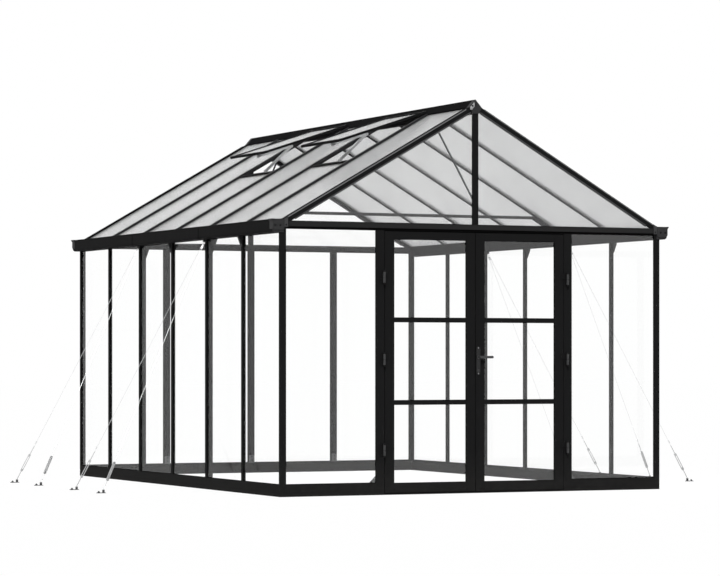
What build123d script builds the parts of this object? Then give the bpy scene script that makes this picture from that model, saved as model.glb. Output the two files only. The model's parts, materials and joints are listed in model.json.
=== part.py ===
"""Glass greenhouse: slotted glazing bars, double doors, frosted roof, two open vents and wire stays.

Millimetres. X to the right as seen from the doors, the doors at -Y, Z up, origin on the ground at the centre.
"""
import math
import os

from build123d import *

os.makedirs("parts", exist_ok=True)

# Overall sizes
width = 3050.0
length = 4190.0
eave_height = 1924.0
roof_pitch = 29.8
bay_count = 6
portal_counts = (2, 4)
bracket_counts = (1, 3)
vent_counts = (1, 3)

# Glazing: panes sit behind the flange of a bar, roof sheets in grooves
pane = 4.0
roof_pane = 6.0
pane_play = 0.3
flange = 8.0
rebate = 15.0
groove_depth = 10.0
edge_gap = 3.0
seat_gap = 0.3

# Base and wall bars
base_height = 85.0
base_width = 45.0
corner_front = 45.0
corner_side = 26.0
corner_body_front = 27.0
corner_body_side = 14.0
post_width = 30.0
post_depth = 29.0
post_body = 14.0
inner_post_width = 28.0
portal_reach = 52.0
back_post_width = 58.0
back_post_depth = 28.0
back_post_body = 30.0
jamb_width = 64.0
jamb_depth = 45.0
threshold_height = 8.0
stop_thick = 7.0
stop_lap = 9.0

# Eaves, header and gables
beam_drop = 78.0
beam_width = 45.0
header_drop = 51.0
header_height = 54.0
header_depth = 40.0
nose_proud = 10.0
nose_height = 39.0
king_width = 47.0
king_body = 20.0
gable_width = 45.0
gable_depth = 39.0
gable_body = 24.0
gable_chamfer = 4.0
gutter_reach = 60.0
gutter_rise = 15.0
gutter_wall = 3.0
gutter_upstand = 30.0
gutter_round = 22.0
gutter_seam = 2.0
cap_back = 5.0
cap_plate = 14.0
cap_inner = 26.0
cap_lift = 15.0
cap_inner_round = 14.0
cap_wrap = 45.0
cap_wall = 2.0
foot_inner = 56.0
foot_proud = 11.0
foot_drop = 42.0
bracket_width = 24.0
bracket_reach = 52.0
bracket_drop = 76.0
bracket_toe = 10.0
bracket_heel = 6.0

# Roof bars and ridge
rafter_width = 38.0
rafter_depth = 25.0
rafter_proud = 4.0
rafter_web = 21.0
panel_inset = 13.0
rafter_chamfer = 2.5
rafter_overhang = 14.0
panel_overhang = 24.0
ridge_half = 50.0
ridge_crown = 57.0
ridge_seat = 52.0
ridge_cap_depth = 45.0
ridge_cap_proud = 8.0
ridge_chamfer = 7.0
boss_radius = 13.0
boss_height = 3.0
boss_hole = 4.0
boss_lift = 22.0

# Portal frames and gable braces
knee_drop = 100.0
knee_run = 70.0
under_bar = 26.0
tie_inset = 312.0
tie_height = 22.0
brace_radius = 7.0
brace_lift = 179.0

# Roof vents
vent_swing = 11.7
vent_length = 755.0
vent_side_gap = 4.0
sash_width = 26.0
sash_depth = 18.0
sill_slope = 775.0
sill_width = 30.0
hinge_pipe = 6.0
hinge_pipe_length = 60.0
hinge_pipe_up = 20.0
hinge_pipe_share = 0.3
opener_width = 22.0
opener_bar = 18.0
opener_elbow = 12.0
opener_side_share = 0.265
elbow_along_share = 0.6
elbow_below = 26.0

# Doors
door_half = 723.0
hinge_gap = 5.0
meeting_gap = 6.0
door_bottom = 14.0
head_gap = 6.0
leaf_depth = 40.0
hinge_stile = 73.0
meeting_stile = 70.0
stile_step = 16.0
top_rail = 56.0
bottom_rail = 69.0
mid_rail = 32.0
mid_step = 10.0
knuckle_radius = 8.0
knuckle_length = 44.0
knuckle_gap = 1.0
knuckle_proud = 22.0
knuckle_neck = 5.0
pin_radius = 3.5
pin_play = 0.05
hinge_set = 14.0
hinge_plate = 2.0
strap_reach = 24.0
hinge_shares = (0.163, 0.5095, 0.8235)

# Door handle
plate_height = 206.0
plate_width = 32.0
plate_depth = 8.0
plate_drop = 26.0
spindle_share = 0.519
spindle_inset = 17.0
spindle_radius = 8.0
spindle_play = 0.05
stile_bore = 11.0
cylinder_radius = 7.0
cylinder_drop = 96.0
neck_length = 46.0
lever_reach = 110.0
lever_height = 18.0
lever_depth = 12.0
lever_chamfer = 2.5

# Stays
peg_out = 905.0
peg_spread = 290.0
stay_drop = 18.0
stay_proud = 12.0
stay_side = 6.0
wire_radius = 1.5
wire_sides = 8
eye_height = 26.0
bracket_plate = 28.0
bracket_depth = 18.0
fork_length = 70.0
fork_radius = 3.0
screw_length = 150.0
screw_radius = 9.0
screw_chamfer = 5.0
screw_end = 16.0
screw_slot = 8.0
screw_thick = 5.0
screw_tail = 22.0
plate_length = 36.0
plate_thick = 4.0
plate_span = 32.0
plate_corner = 7.0
dome_radius = 15.0
dome_height = 16.0
dome_taper = 32.0
head_sides = 6
tab_thick = 8.0
tab_span = 16.0

half_width = width / 2
half_length = length / 2
bay = length / bay_count
pitch = math.radians(roof_pitch)
rise = math.tan(pitch)
roof_slot = roof_pane + 2 * pane_play
pane_slot = pane + 2 * pane_play
glass_inset = flange + pane_slot / 2
bite = groove_depth - edge_gap
beam_bottom = eave_height - beam_drop
gutter_top = eave_height + gutter_rise
gutter_height = gutter_top - beam_bottom
header_bottom = eave_height - header_drop
header_top = header_bottom + header_height
corner_top = eave_height - (panel_inset + roof_pane) / math.cos(pitch)
inner_lines = range(1, bay_count)
seat_slope = (half_width - ridge_half) / math.cos(pitch)
shoulder = eave_height + (half_width - ridge_half) * rise
ridge_bottom = shoulder - ridge_seat * math.cos(pitch)
jamb_outer = door_half + jamb_width
jamb_back = jamb_outer - stile_step
leaf_outer = door_half - hinge_gap
leaf_inner = meeting_gap / 2
door_top = header_bottom - head_gap
leaf_height = door_top - door_bottom
stop_at = max(leaf_depth, header_depth) + seat_gap
spindle_x = leaf_inner + spindle_inset
spindle_height = door_bottom + leaf_height * spindle_share
plate_centre = spindle_height - plate_drop
hinge_heights = [door_bottom + leaf_height * share for share in hinge_shares]
tie_reach = half_width - tie_inset
brace_foot = header_top + brace_lift
peg_reach = half_width + peg_out
stay_height = beam_bottom - stay_drop


def line_y(index):
    """Place of a post and rafter line, counted from the front."""
    return -half_length + index * bay


def roof_height(x):
    """Top of the roof bars over a place across the house."""
    return eave_height + (half_width - abs(x)) * rise


def slope_plane(distance, y):
    """Plane across the left roof slope: local x backwards, local y out of the roof."""
    origin = (-half_width + distance * math.cos(pitch), y, eave_height + distance * math.sin(pitch))
    return Plane(origin, x_dir=(0, 1, 0), z_dir=(math.cos(pitch), 0, math.sin(pitch)))


def left_plane(y):
    """Upright plane across the left wall: local x outwards, local y up, sweeping backwards."""
    return Plane((-half_width, y, 0), x_dir=(-1, 0, 0), z_dir=(0, 1, 0))


def front_plane(x):
    """Upright plane across the front wall: local x outwards, local y up, sweeping to the left."""
    return Plane((x, -half_length, 0), x_dir=(0, -1, 0), z_dir=(-1, 0, 0))


def flanged_bar(bar_width, bar_depth, body_width):
    """Glazing bar: a flange with its outside face on the sketch's x axis and a narrower body behind it."""
    with Locations((0, -flange / 2)):
        Rectangle(bar_width, flange)
    with Locations((0, -bar_depth / 2)):
        Rectangle(body_width, bar_depth)


def roof_bar():
    """Roof bar: a wide cap, a groove in each side for the sheets and a web below."""
    cap_depth = panel_inset - roof_slot / 2
    web_depth = rafter_depth - panel_inset - roof_slot / 2
    with Locations((0, (rafter_proud - cap_depth) / 2)):
        Rectangle(rafter_width, rafter_proud + cap_depth)
    with Locations((0, -rafter_depth / 2)):
        Rectangle(rafter_width - 2 * groove_depth, rafter_depth)
    with Locations((0, web_depth / 2 - rafter_depth)):
        Rectangle(rafter_web, web_depth)


def base_section():
    """Base rail: a tall flange outside and a lower body that carries the panes."""
    with Locations((-flange / 2, base_height / 2)):
        Rectangle(flange, base_height)
    with Locations((-base_width / 2, (base_height - rebate) / 2)):
        Rectangle(base_width, base_height - rebate)


def header_section():
    """Header: a flange outside, with panes behind its lower and upper edge, and a body between them."""
    with Locations((-flange / 2, header_bottom + header_height / 2)):
        Rectangle(flange, header_height)
    with Locations((-header_depth / 2, header_bottom + header_height / 2)):
        Rectangle(header_depth, header_height - 2 * rebate)


def ridge_section():
    """Five-sided ridge with a seat square to each roof slope."""
    inset = ridge_seat * math.sin(pitch)
    Polygon(
        (0, shoulder + ridge_crown),
        (-ridge_half, shoulder),
        (-ridge_half + inset, ridge_bottom),
        (ridge_half - inset, ridge_bottom),
        (ridge_half, shoulder),
        align=None,
    )


# Base
with BuildPart() as front_base_rails:
    with BuildSketch(front_plane(-jamb_outer)):
        base_section()
    extrude(amount=half_width - corner_front - jamb_outer)
    mirror(about=Plane.YZ)

with BuildPart() as back_base_rail:
    with BuildSketch(front_plane(half_width - corner_front)):
        base_section()
    extrude(amount=2 * (half_width - corner_front))
    mirror(about=Plane.XZ, mode=Mode.REPLACE)

with BuildPart() as side_base_rails:
    with BuildSketch(left_plane(-half_length + corner_side)):
        base_section()
    extrude(amount=length - 2 * corner_side)
    mirror(about=Plane.YZ)

with BuildPart() as door_threshold:
    with BuildSketch(front_plane(door_half)):
        with Locations((-leaf_depth / 2, threshold_height / 2)):
            Rectangle(leaf_depth, threshold_height)
        with Locations((-stop_at - stop_thick / 2, (door_bottom + stop_lap) / 2)):
            Rectangle(stop_thick, door_bottom + stop_lap)
    extrude(amount=2 * door_half)

# Upright bars
with BuildPart() as corner_posts:
    with BuildSketch(Plane.XY):
        corner_body = (corner_body_front, corner_body_side)
        for across, deep in ((corner_front, flange), (flange, corner_side), corner_body):
            with Locations((-half_width + across / 2, -half_length + deep / 2)):
                Rectangle(across, deep)
    extrude(amount=corner_top)
    mirror(about=Plane.YZ)
    mirror(about=Plane.XZ)

with BuildPart() as left_wall_posts:
    for line in inner_lines:
        with BuildSketch(Plane((-half_width, line_y(line), base_height), x_dir=(0, 1, 0), z_dir=(0, 0, 1))):
            flanged_bar(post_width, post_depth, post_body)
        extrude(amount=beam_bottom - base_height)

with BuildPart() as right_wall_posts:
    mirror(left_wall_posts.part, about=Plane.YZ)

with BuildPart() as back_wall_posts:
    for x in (-half_width / 2, 0, half_width / 2):
        with BuildSketch(Plane((x, half_length, base_height), x_dir=(1, 0, 0), z_dir=(0, 0, 1))):
            flanged_bar(back_post_width, back_post_depth, back_post_body)
        extrude(amount=header_bottom - base_height)

with BuildPart() as door_jambs:
    with BuildSketch(Plane.XY):
        with Locations((-door_half - jamb_width / 2, -half_length + flange / 2)):
            Rectangle(jamb_width, flange)
        with Locations(((-door_half - jamb_back) / 2, -half_length + jamb_depth / 2)):
            Rectangle(jamb_back - door_half, jamb_depth)
    extrude(amount=header_bottom)
    mirror(about=Plane.YZ)

# Eave beams and gutters
line_places = [line_y(line) for line in range(bay_count)] + [half_length]
bay_ends = list(zip(line_places[:-1], line_places[1:]))
with BuildPart() as eave_beams:
    with BuildSketch(left_plane(-half_length + corner_side)):
        drop = (rafter_depth + seat_gap) / math.cos(pitch)
        with BuildLine():
            Polyline(
                (0, beam_bottom),
                (0, eave_height - drop),
                (-beam_width, eave_height + beam_width * rise - drop),
                (-beam_width, beam_bottom),
                close=True,
            )
        make_face()
        with Locations((-glass_inset, beam_bottom + groove_depth / 2)):
            Rectangle(pane_slot, groove_depth, mode=Mode.SUBTRACT)
    extrude(amount=length - 2 * corner_side)
    sheet_drop = (panel_inset + roof_pane / 2 + seat_gap) / math.cos(pitch)
    for low, high in bay_ends:
        start = low + (gable_width if low == -half_length else rafter_web / 2) + seat_gap
        end = high - (gable_width if high == half_length else rafter_web / 2) - seat_gap
        with BuildSketch(left_plane(start)):
            Polygon(
                (0, eave_height - drop),
                (0, eave_height - sheet_drop),
                (-beam_width, eave_height + beam_width * rise - sheet_drop),
                (-beam_width, eave_height + beam_width * rise - drop),
                align=None,
            )
        extrude(amount=end - start)
    mirror(about=Plane.YZ)

gutter_ends = [-half_length] + [line_y(line) for line in portal_counts] + [half_length]
with BuildPart() as left_gutter:
    for start, end in zip(gutter_ends[:-1], gutter_ends[1:]):
        with BuildSketch(left_plane(start)) as trough:
            with Locations((gutter_reach / 2, beam_bottom + gutter_height / 2)):
                Rectangle(gutter_reach, gutter_height)
            fillet(trough.vertices().group_by(Axis.X)[-1].sort_by(Axis.Y)[0], gutter_round)
            with BuildSketch(mode=Mode.SUBTRACT) as channel:
                with Locations((gutter_reach / 2, beam_bottom + gutter_wall + gutter_height / 2)):
                    Rectangle(gutter_reach - 2 * gutter_wall, gutter_height)
                fillet(channel.vertices().group_by(Axis.X)[-1].sort_by(Axis.Y)[0], gutter_round - gutter_wall)
            with Locations((0, beam_bottom + gutter_upstand + gutter_height / 2)):
                Rectangle(4 * gutter_wall, gutter_height, mode=Mode.SUBTRACT)
        extrude(amount=end - start - (gutter_seam if end < half_length else 0))

with BuildPart() as right_gutter:
    mirror(left_gutter.part, about=Plane.YZ)

with BuildPart() as gutter_end_caps:
    cap_reach = gutter_reach + cap_wall
    with BuildSketch(left_plane(-half_length - cap_back)) as cap:
        with Locations(((gutter_reach - cap_inner) / 2, beam_bottom + gutter_height / 2)):
            Rectangle(gutter_reach + cap_inner, gutter_height)
        fillet(cap.vertices().group_by(Axis.X)[-1].sort_by(Axis.Y)[0], gutter_round)
    extrude(amount=cap_back)
    with BuildSketch(left_plane(-half_length - cap_plate)) as cap_face:
        with Locations(((cap_reach - cap_inner) / 2, (gutter_top + beam_bottom + cap_lift) / 2)):
            Rectangle(cap_reach + cap_inner, gutter_height - cap_lift)
        fillet(cap_face.vertices().group_by(Axis.X)[-1].sort_by(Axis.Y)[0], gutter_round)
        fillet(cap_face.vertices().group_by(Axis.X)[0].sort_by(Axis.Y)[0], cap_inner_round)
    extrude(amount=cap_plate - cap_back)
    with BuildSketch(left_plane(-half_length - cap_back)):
        with Locations((gutter_reach + cap_wall / 2, (gutter_top + beam_bottom + gutter_round) / 2)):
            Rectangle(cap_wall, gutter_height - gutter_round)
    extrude(amount=cap_wrap + cap_back)
    with BuildSketch(Plane.XZ.offset(half_length)):
        foot_left = -half_width + cap_inner + seat_gap
        foot_right = -half_width + foot_inner
        Polygon(
            (foot_left, eave_height - foot_drop),
            (foot_right, eave_height - foot_drop),
            (foot_right, roof_height(foot_right)),
            (foot_left, roof_height(foot_left)),
            align=None,
        )
    extrude(amount=foot_proud)
    mirror(about=Plane.YZ)
    mirror(about=Plane.XZ)

with BuildPart() as gutter_brackets:
    for line in bracket_counts:
        with BuildSketch(left_plane(line_y(line) - bracket_width / 2)):
            with BuildLine():
                Polyline(
                    (0, beam_bottom),
                    (bracket_reach - gutter_round, beam_bottom),
                    (bracket_reach - gutter_round, beam_bottom - bracket_toe),
                    (bracket_heel, beam_bottom - bracket_drop),
                    (0, beam_bottom - bracket_drop),
                    close=True,
                )
            make_face()
        extrude(amount=bracket_width)
    mirror(about=Plane.YZ)

# Headers, king posts and gable rafters
with BuildPart() as front_header:
    with BuildSketch(front_plane(half_width - corner_front)):
        header_section()
    extrude(amount=2 * (half_width - corner_front))
    nose_half = half_width - foot_inner - seat_gap
    with BuildSketch(front_plane(nose_half)):
        with Locations((nose_proud / 2, header_top - nose_height / 2)):
            Rectangle(nose_proud, nose_height)
    extrude(amount=2 * nose_half)

with BuildPart() as back_header:
    mirror(front_header.part, about=Plane.XZ)

with BuildPart() as door_head_stop:
    stop_top = header_top - rebate
    with BuildSketch(front_plane(door_half)):
        with Locations((-stop_at - stop_thick / 2, (stop_top + door_top - stop_lap) / 2)):
            Rectangle(stop_thick, stop_top - door_top + stop_lap)
    extrude(amount=2 * door_half)

with BuildPart() as gable_king_posts:
    with BuildSketch(Plane((0, -half_length, header_top), x_dir=(-1, 0, 0), z_dir=(0, 0, 1))):
        flanged_bar(king_width, header_depth, king_body)
    extrude(amount=ridge_bottom - header_top)
    mirror(about=Plane.XZ)

with BuildPart() as gable_rafters:
    with BuildSketch(slope_plane(0, -half_length)) as gable:
        with Locations((flange / 2, -gable_depth / 2)):
            Rectangle(flange, gable_depth)
        with Locations((gable_width / 2, -gable_body / 2)):
            Rectangle(gable_width, gable_body)
        chamfer(gable.vertices().group_by(Axis.Y)[-1].sort_by(Axis.X)[0], gable_chamfer)
        with Locations((gable_width - groove_depth / 2, -panel_inset)):
            Rectangle(groove_depth, roof_slot, mode=Mode.SUBTRACT)
    extrude(amount=seat_slope - seat_gap)
    split(bisect_by=Plane.XY.offset(header_top), keep=Keep.TOP)
    mirror(about=Plane.YZ)
    mirror(about=Plane.XZ)

# Roof bars and ridge
with BuildPart() as left_rafters:
    for line in inner_lines:
        with BuildSketch(slope_plane(-rafter_overhang, line_y(line))) as bar:
            roof_bar()
            chamfer(bar.vertices().group_by(Axis.Y)[-1], rafter_chamfer)
        extrude(amount=seat_slope + rafter_overhang - seat_gap)

with BuildPart() as right_rafters:
    mirror(left_rafters.part, about=Plane.YZ)

with BuildPart() as ridge_beam:
    with BuildSketch(Plane.XZ.offset(half_length - ridge_cap_depth)):
        ridge_section()
    extrude(amount=-2 * (half_length - ridge_cap_depth))

with BuildPart() as ridge_end_caps:
    ridge_face = half_length + ridge_cap_proud
    with BuildSketch(Plane.XZ.offset(ridge_face)):
        ridge_section()
    extrude(amount=-ridge_cap_depth - ridge_cap_proud)
    chamfer(ridge_end_caps.faces().sort_by(Axis.Y)[0].edges().sort_by(Axis.Z)[-2:], ridge_chamfer)
    with BuildSketch(Plane.XZ.offset(ridge_face)):
        with Locations((0, shoulder + boss_lift)):
            Circle(boss_radius)
    extrude(amount=boss_height)
    with BuildSketch(Plane.XZ.offset(ridge_face + boss_height)):
        with Locations((0, shoulder + boss_lift)):
            Circle(boss_hole)
    extrude(amount=-boss_height - ridge_cap_proud, mode=Mode.SUBTRACT)
    mirror(about=Plane.XZ)

# Portal frames
portal_face = half_width - portal_reach
with BuildPart() as portal_posts:
    for line in portal_counts:
        with BuildSketch(Plane.XY.offset(base_height)):
            with Locations((-(half_width - post_depth + portal_face) / 2, line_y(line))):
                Rectangle(half_width - post_depth - portal_face, inner_post_width)
        extrude(amount=beam_bottom - base_height)
    mirror(about=Plane.YZ)

under_drop = (rafter_depth + seat_gap) / math.cos(pitch)
bar_drop = under_drop + under_bar / math.cos(pitch)
with BuildPart() as portal_knees:
    for line in portal_counts:
        with BuildSketch(Plane.XZ.offset(-line_y(line) - inner_post_width / 2)):
            wall = portal_face - seat_gap
            with BuildLine():
                Polyline(
                    (-wall, beam_bottom - knee_drop),
                    (-wall, roof_height(wall) - under_drop),
                    (-tie_reach, roof_height(tie_reach) - under_drop),
                    (-tie_reach, roof_height(tie_reach) - bar_drop),
                    (-wall + knee_run, roof_height(wall - knee_run) - bar_drop),
                    close=True,
                )
            make_face()
        extrude(amount=inner_post_width)
    mirror(about=Plane.YZ)

with BuildPart() as tie_bars:
    for line in portal_counts:
        tie_middle = roof_height(tie_reach) - (under_drop + bar_drop) / 2
        with BuildSketch(Plane((0, line_y(line), tie_middle))):
            Rectangle(2 * (tie_reach - seat_gap), inner_post_width)
        extrude(amount=tie_height / 2, both=True)

with BuildPart() as ridge_braces:
    brace_run = bay - header_depth
    brace_rise = ridge_bottom - brace_foot
    brace_start = (0, -half_length + header_depth, brace_foot)
    with BuildSketch(Plane(brace_start, z_dir=(0, brace_run, brace_rise))):
        Circle(brace_radius)
    extrude(amount=2 * math.hypot(brace_run, brace_rise), both=True)
    split(bisect_by=Plane.XY.offset(ridge_bottom), keep=Keep.BOTTOM)
    split(bisect_by=Plane.XZ.offset(half_length - header_depth), keep=Keep.BOTTOM)
    mirror(about=Plane.XZ)

# Roof vents
rafter_half = rafter_width / 2
sill_at = half_width / math.cos(pitch) - sill_slope
with BuildPart() as vent_sills:
    for number in vent_counts:
        start = line_y(number) + rafter_half + seat_gap
        sill_origin = slope_plane(sill_at, start).origin
        with BuildSketch(Plane(sill_origin, x_dir=(-math.cos(pitch), 0, -math.sin(pitch)), z_dir=(0, 1, 0))):
            with Locations((0, -rafter_depth / 2)):
                Rectangle(sill_width, rafter_depth)
            with Locations(((sill_width - groove_depth) / 2, -panel_inset)):
                Rectangle(groove_depth, roof_slot, mode=Mode.SUBTRACT)
        extrude(amount=bay - rafter_width - 2 * seat_gap)

vent_pitch = pitch - math.radians(vent_swing)
crown_side = math.hypot(ridge_half, ridge_crown)
pipe_off = hinge_pipe + seat_gap
vent_x = -ridge_half + (hinge_pipe_up * ridge_half - pipe_off * ridge_crown) / crown_side
vent_z = shoulder + (hinge_pipe_up * ridge_crown + pipe_off * ridge_half) / crown_side
vent_width = bay - 2 * vent_side_gap


def vent_plane(number):
    """Plane of an open vent from its hinge line: local x backwards, local y down the slope."""
    middle = line_y(number) + bay / 2
    out_of_vent = (-math.sin(vent_pitch), 0, math.cos(vent_pitch))
    return Plane((vent_x, middle, vent_z), x_dir=(0, 1, 0), z_dir=out_of_vent)


with BuildPart() as vent_hinges:
    for number in vent_counts:
        for side in (-hinge_pipe_share, hinge_pipe_share):
            with BuildSketch(Plane.XZ.offset(-line_y(number) - bay / 2 - side * bay)):
                with Locations((vent_x, vent_z)):
                    Circle(hinge_pipe)
            extrude(amount=hinge_pipe_length / 2, both=True)

with BuildPart() as vent_sashes:
    for number in vent_counts:
        for side in (-1, 1):
            with BuildSketch(vent_plane(number).offset(-sash_depth / 2)):
                with Locations((side * (vent_width - sash_width) / 2, (pipe_off + vent_length) / 2)):
                    Rectangle(sash_width, vent_length - pipe_off)
            extrude(amount=sash_depth)
            with BuildSketch(vent_plane(number).offset(-pane_slot / 2)):
                inner_edge = vent_width / 2 - sash_width + groove_depth / 2
                with Locations((side * inner_edge, (pipe_off + vent_length) / 2)):
                    Rectangle(groove_depth, vent_length - pipe_off - 2 * sash_width + 2 * groove_depth)
            extrude(amount=pane_slot, mode=Mode.SUBTRACT)
        for end in (pipe_off + sash_width / 2, vent_length - sash_width / 2):
            with BuildSketch(vent_plane(number).offset(-sash_depth / 2)):
                with Locations((0, end)):
                    Rectangle(vent_width - 2 * sash_width - 2 * seat_gap, sash_width)
            extrude(amount=sash_depth)
        for end in (pipe_off + sash_width - groove_depth / 2, vent_length - sash_width + groove_depth / 2):
            with BuildSketch(vent_plane(number).offset(-pane_slot / 2)):
                with Locations((0, end)):
                    Rectangle(vent_width - 2 * sash_width, groove_depth)
            extrude(amount=pane_slot, mode=Mode.SUBTRACT)

with BuildPart() as vent_panes:
    light_across = vent_width - 2 * sash_width + 2 * bite
    light_down = vent_length - pipe_off - 2 * sash_width + 2 * bite
    for number in vent_counts:
        with BuildSketch(vent_plane(number).offset(-pane / 2)):
            with Locations((0, (pipe_off + vent_length) / 2)):
                Rectangle(light_across, light_down)
        extrude(amount=pane)

down = (-math.cos(vent_pitch), -math.sin(vent_pitch))
out = (-math.sin(vent_pitch), math.cos(vent_pitch))


def under_vent(along, below):
    """Place under an open vent, from its hinge line, as seen from the front."""
    return vent_x + down[0] * along - out[0] * below, vent_z + down[1] * along - out[1] * below


sill_top = opener_elbow + seat_gap
sill_x = -half_width + sill_at * math.cos(pitch)
opener_foot = (sill_x - sill_top * math.sin(pitch), roof_height(sill_x) + sill_top * math.cos(pitch))
opener_end = under_vent(vent_length - sash_width / 2, sash_depth / 2 + sill_top)
opener_top = under_vent(vent_length * elbow_along_share, elbow_below)
with BuildPart() as vent_openers:
    for number in vent_counts:
        middle = line_y(number) + bay / 2 - opener_side_share * bay
        for start, end in ((opener_foot, opener_top), (opener_end, opener_top)):
            run = math.hypot(end[0] - start[0], end[1] - start[1])
            turn = math.degrees(math.atan2(end[1] - start[1], end[0] - start[0]))
            with BuildSketch(Plane.XZ.offset(-middle)):
                with Locations(Location(((start[0] + end[0]) / 2, (start[1] + end[1]) / 2), turn)):
                    SlotCenterToCenter(run, opener_bar)
                with Locations(start, end):
                    Circle(opener_elbow)
            extrude(amount=opener_width / 2, both=True)

# Panes
pane_low = base_height - rebate + edge_gap
head_pane_high = header_bottom + rebate - edge_gap
with BuildPart() as left_wall_glass:
    post_core = post_body / 2 + edge_gap
    corner_core = corner_body_side + edge_gap
    for low, high in bay_ends:
        start = low + (corner_core if low == -half_length else post_core)
        end = high - (corner_core if high == half_length else post_core)
        with BuildSketch(Plane.XY.offset(pane_low)):
            with Locations((-half_width + glass_inset, (start + end) / 2)):
                Rectangle(pane, end - start)
        extrude(amount=beam_bottom + bite - pane_low)

with BuildPart() as right_wall_glass:
    mirror(left_wall_glass.part, about=Plane.YZ)

outer_edge = -half_width + corner_body_front + edge_gap
with BuildPart() as front_wall_glass:
    inner_edge = -jamb_back - edge_gap
    with BuildSketch(Plane.XY.offset(pane_low)):
        with Locations(((outer_edge + inner_edge) / 2, -half_length + glass_inset)):
            Rectangle(inner_edge - outer_edge, pane)
    extrude(amount=head_pane_high - pane_low)
    mirror(about=Plane.YZ)

with BuildPart() as back_wall_glass:
    back_core = back_post_body / 2 + edge_gap
    for start, end in ((outer_edge, -half_width / 2 - back_core), (-half_width / 2 + back_core, -back_core)):
        with BuildSketch(Plane.XY.offset(pane_low)):
            with Locations(((start + end) / 2, half_length - glass_inset)):
                Rectangle(end - start, pane)
        extrude(amount=head_pane_high - pane_low)
    mirror(about=Plane.YZ)

with BuildPart() as gable_glass:
    top_drop = (gable_body + edge_gap) / math.cos(pitch)
    pane_foot = header_top - rebate + edge_gap
    pane_side = king_body / 2 + edge_gap
    tip = half_width - (pane_foot + top_drop - eave_height) / rise
    with BuildSketch(Plane.XZ.offset(half_length - glass_inset)):
        with BuildLine():
            Polyline(
                (-tip, pane_foot),
                (-pane_side, pane_foot),
                (-pane_side, ridge_bottom - edge_gap),
                (-half_width + (ridge_bottom - edge_gap + top_drop - eave_height) / rise,
                 ridge_bottom - edge_gap),
                close=True,
            )
        make_face()
    extrude(amount=pane / 2, both=True)
    mirror(about=Plane.YZ)
    mirror(about=Plane.XZ)


def sheet_span(low, high):
    """Front and back edge of a bay's roof sheet, inside the grooves of its bars."""
    start = low + (gable_width if low == -half_length else rafter_half) - bite
    end = high - (gable_width if high == half_length else rafter_half) + bite
    return start, end


sheet_stop = seat_slope - seat_gap
vent_stop = sill_at - sill_width / 2 + bite
with BuildPart() as left_roof_sheets:
    for number, (low, high) in enumerate(bay_ends):
        start, end = sheet_span(low, high)
        with BuildSketch(slope_plane(-panel_overhang, (start + end) / 2)):
            with Locations((0, -panel_inset)):
                Rectangle(end - start, roof_pane)
        extrude(amount=panel_overhang + (vent_stop if number in vent_counts else sheet_stop))

with BuildPart() as right_roof_sheets:
    for low, high in bay_ends:
        start, end = sheet_span(low, high)
        with BuildSketch(slope_plane(-panel_overhang, (start + end) / 2)):
            with Locations((0, -panel_inset)):
                Rectangle(end - start, roof_pane)
        extrude(amount=panel_overhang + sheet_stop)
    mirror(about=Plane.YZ, mode=Mode.REPLACE)

# Door leaves
leaf_middle = -half_length + leaf_depth / 2
opening_outer = leaf_outer - hinge_stile
opening_inner = leaf_inner + meeting_stile
with BuildPart() as left_door_stiles:
    for edge, stile, side in ((-leaf_outer, hinge_stile, 1), (-leaf_inner, meeting_stile, -1)):
        with BuildSketch(Plane.XY.offset(door_bottom)):
            with Locations((edge + side * stile / 2, -half_length + flange / 2)):
                Rectangle(stile, flange)
            with Locations((edge + side * (stile - stile_step) / 2, leaf_middle)):
                Rectangle(stile - stile_step, leaf_depth)
        extrude(amount=leaf_height)

with BuildPart() as right_door_stiles:
    mirror(left_door_stiles.part, about=Plane.YZ)
    with BuildSketch(Plane.XZ.offset(half_length)):
        with Locations((spindle_x, spindle_height)):
            Circle(stile_bore)
    extrude(amount=-leaf_depth, mode=Mode.SUBTRACT)

light_low = door_bottom + bottom_rail
light_high = door_top - top_rail
light_height = (light_high - light_low - 2 * mid_rail) / 3
mid_low = light_low + light_height
mid_high = mid_low + mid_rail + light_height
rail_spans = (
    (door_bottom, bottom_rail, 0, stile_step),
    (mid_low, mid_rail, mid_step, mid_step),
    (mid_high, mid_rail, mid_step, mid_step),
    (light_high, top_rail, stile_step, 0),
)
with BuildPart() as left_door_rails:
    for foot, height, below, above in rail_spans:
        with BuildSketch(front_plane(-opening_inner - seat_gap)):
            with Locations((-flange / 2, foot + height / 2)):
                Rectangle(flange, height)
        extrude(amount=opening_outer - opening_inner - 2 * seat_gap)
        with BuildSketch(front_plane(-opening_inner + stile_step - seat_gap)):
            with Locations(((-flange - leaf_depth) / 2, foot + (height + below - above) / 2)):
                Rectangle(leaf_depth - flange, height - below - above)
        extrude(amount=opening_outer - opening_inner + 2 * stile_step - 2 * seat_gap)

with BuildPart() as right_door_rails:
    mirror(left_door_rails.part, about=Plane.YZ)

with BuildPart() as left_door_glass:
    pane_across = opening_outer - opening_inner + 2 * (stile_step - edge_gap)
    lights = (
        (light_low - stile_step, mid_low + mid_step),
        (mid_low + mid_rail - mid_step, mid_high + mid_step),
        (mid_high + mid_rail - mid_step, light_high + stile_step),
    )
    for low, high in lights:
        with BuildSketch(Plane.XY.offset(low + edge_gap)):
            with Locations((-(opening_outer + opening_inner) / 2, -half_length + glass_inset)):
                Rectangle(pane_across, pane)
        extrude(amount=high - low - 2 * edge_gap)

with BuildPart() as right_door_glass:
    mirror(left_door_glass.part, about=Plane.YZ)

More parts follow.
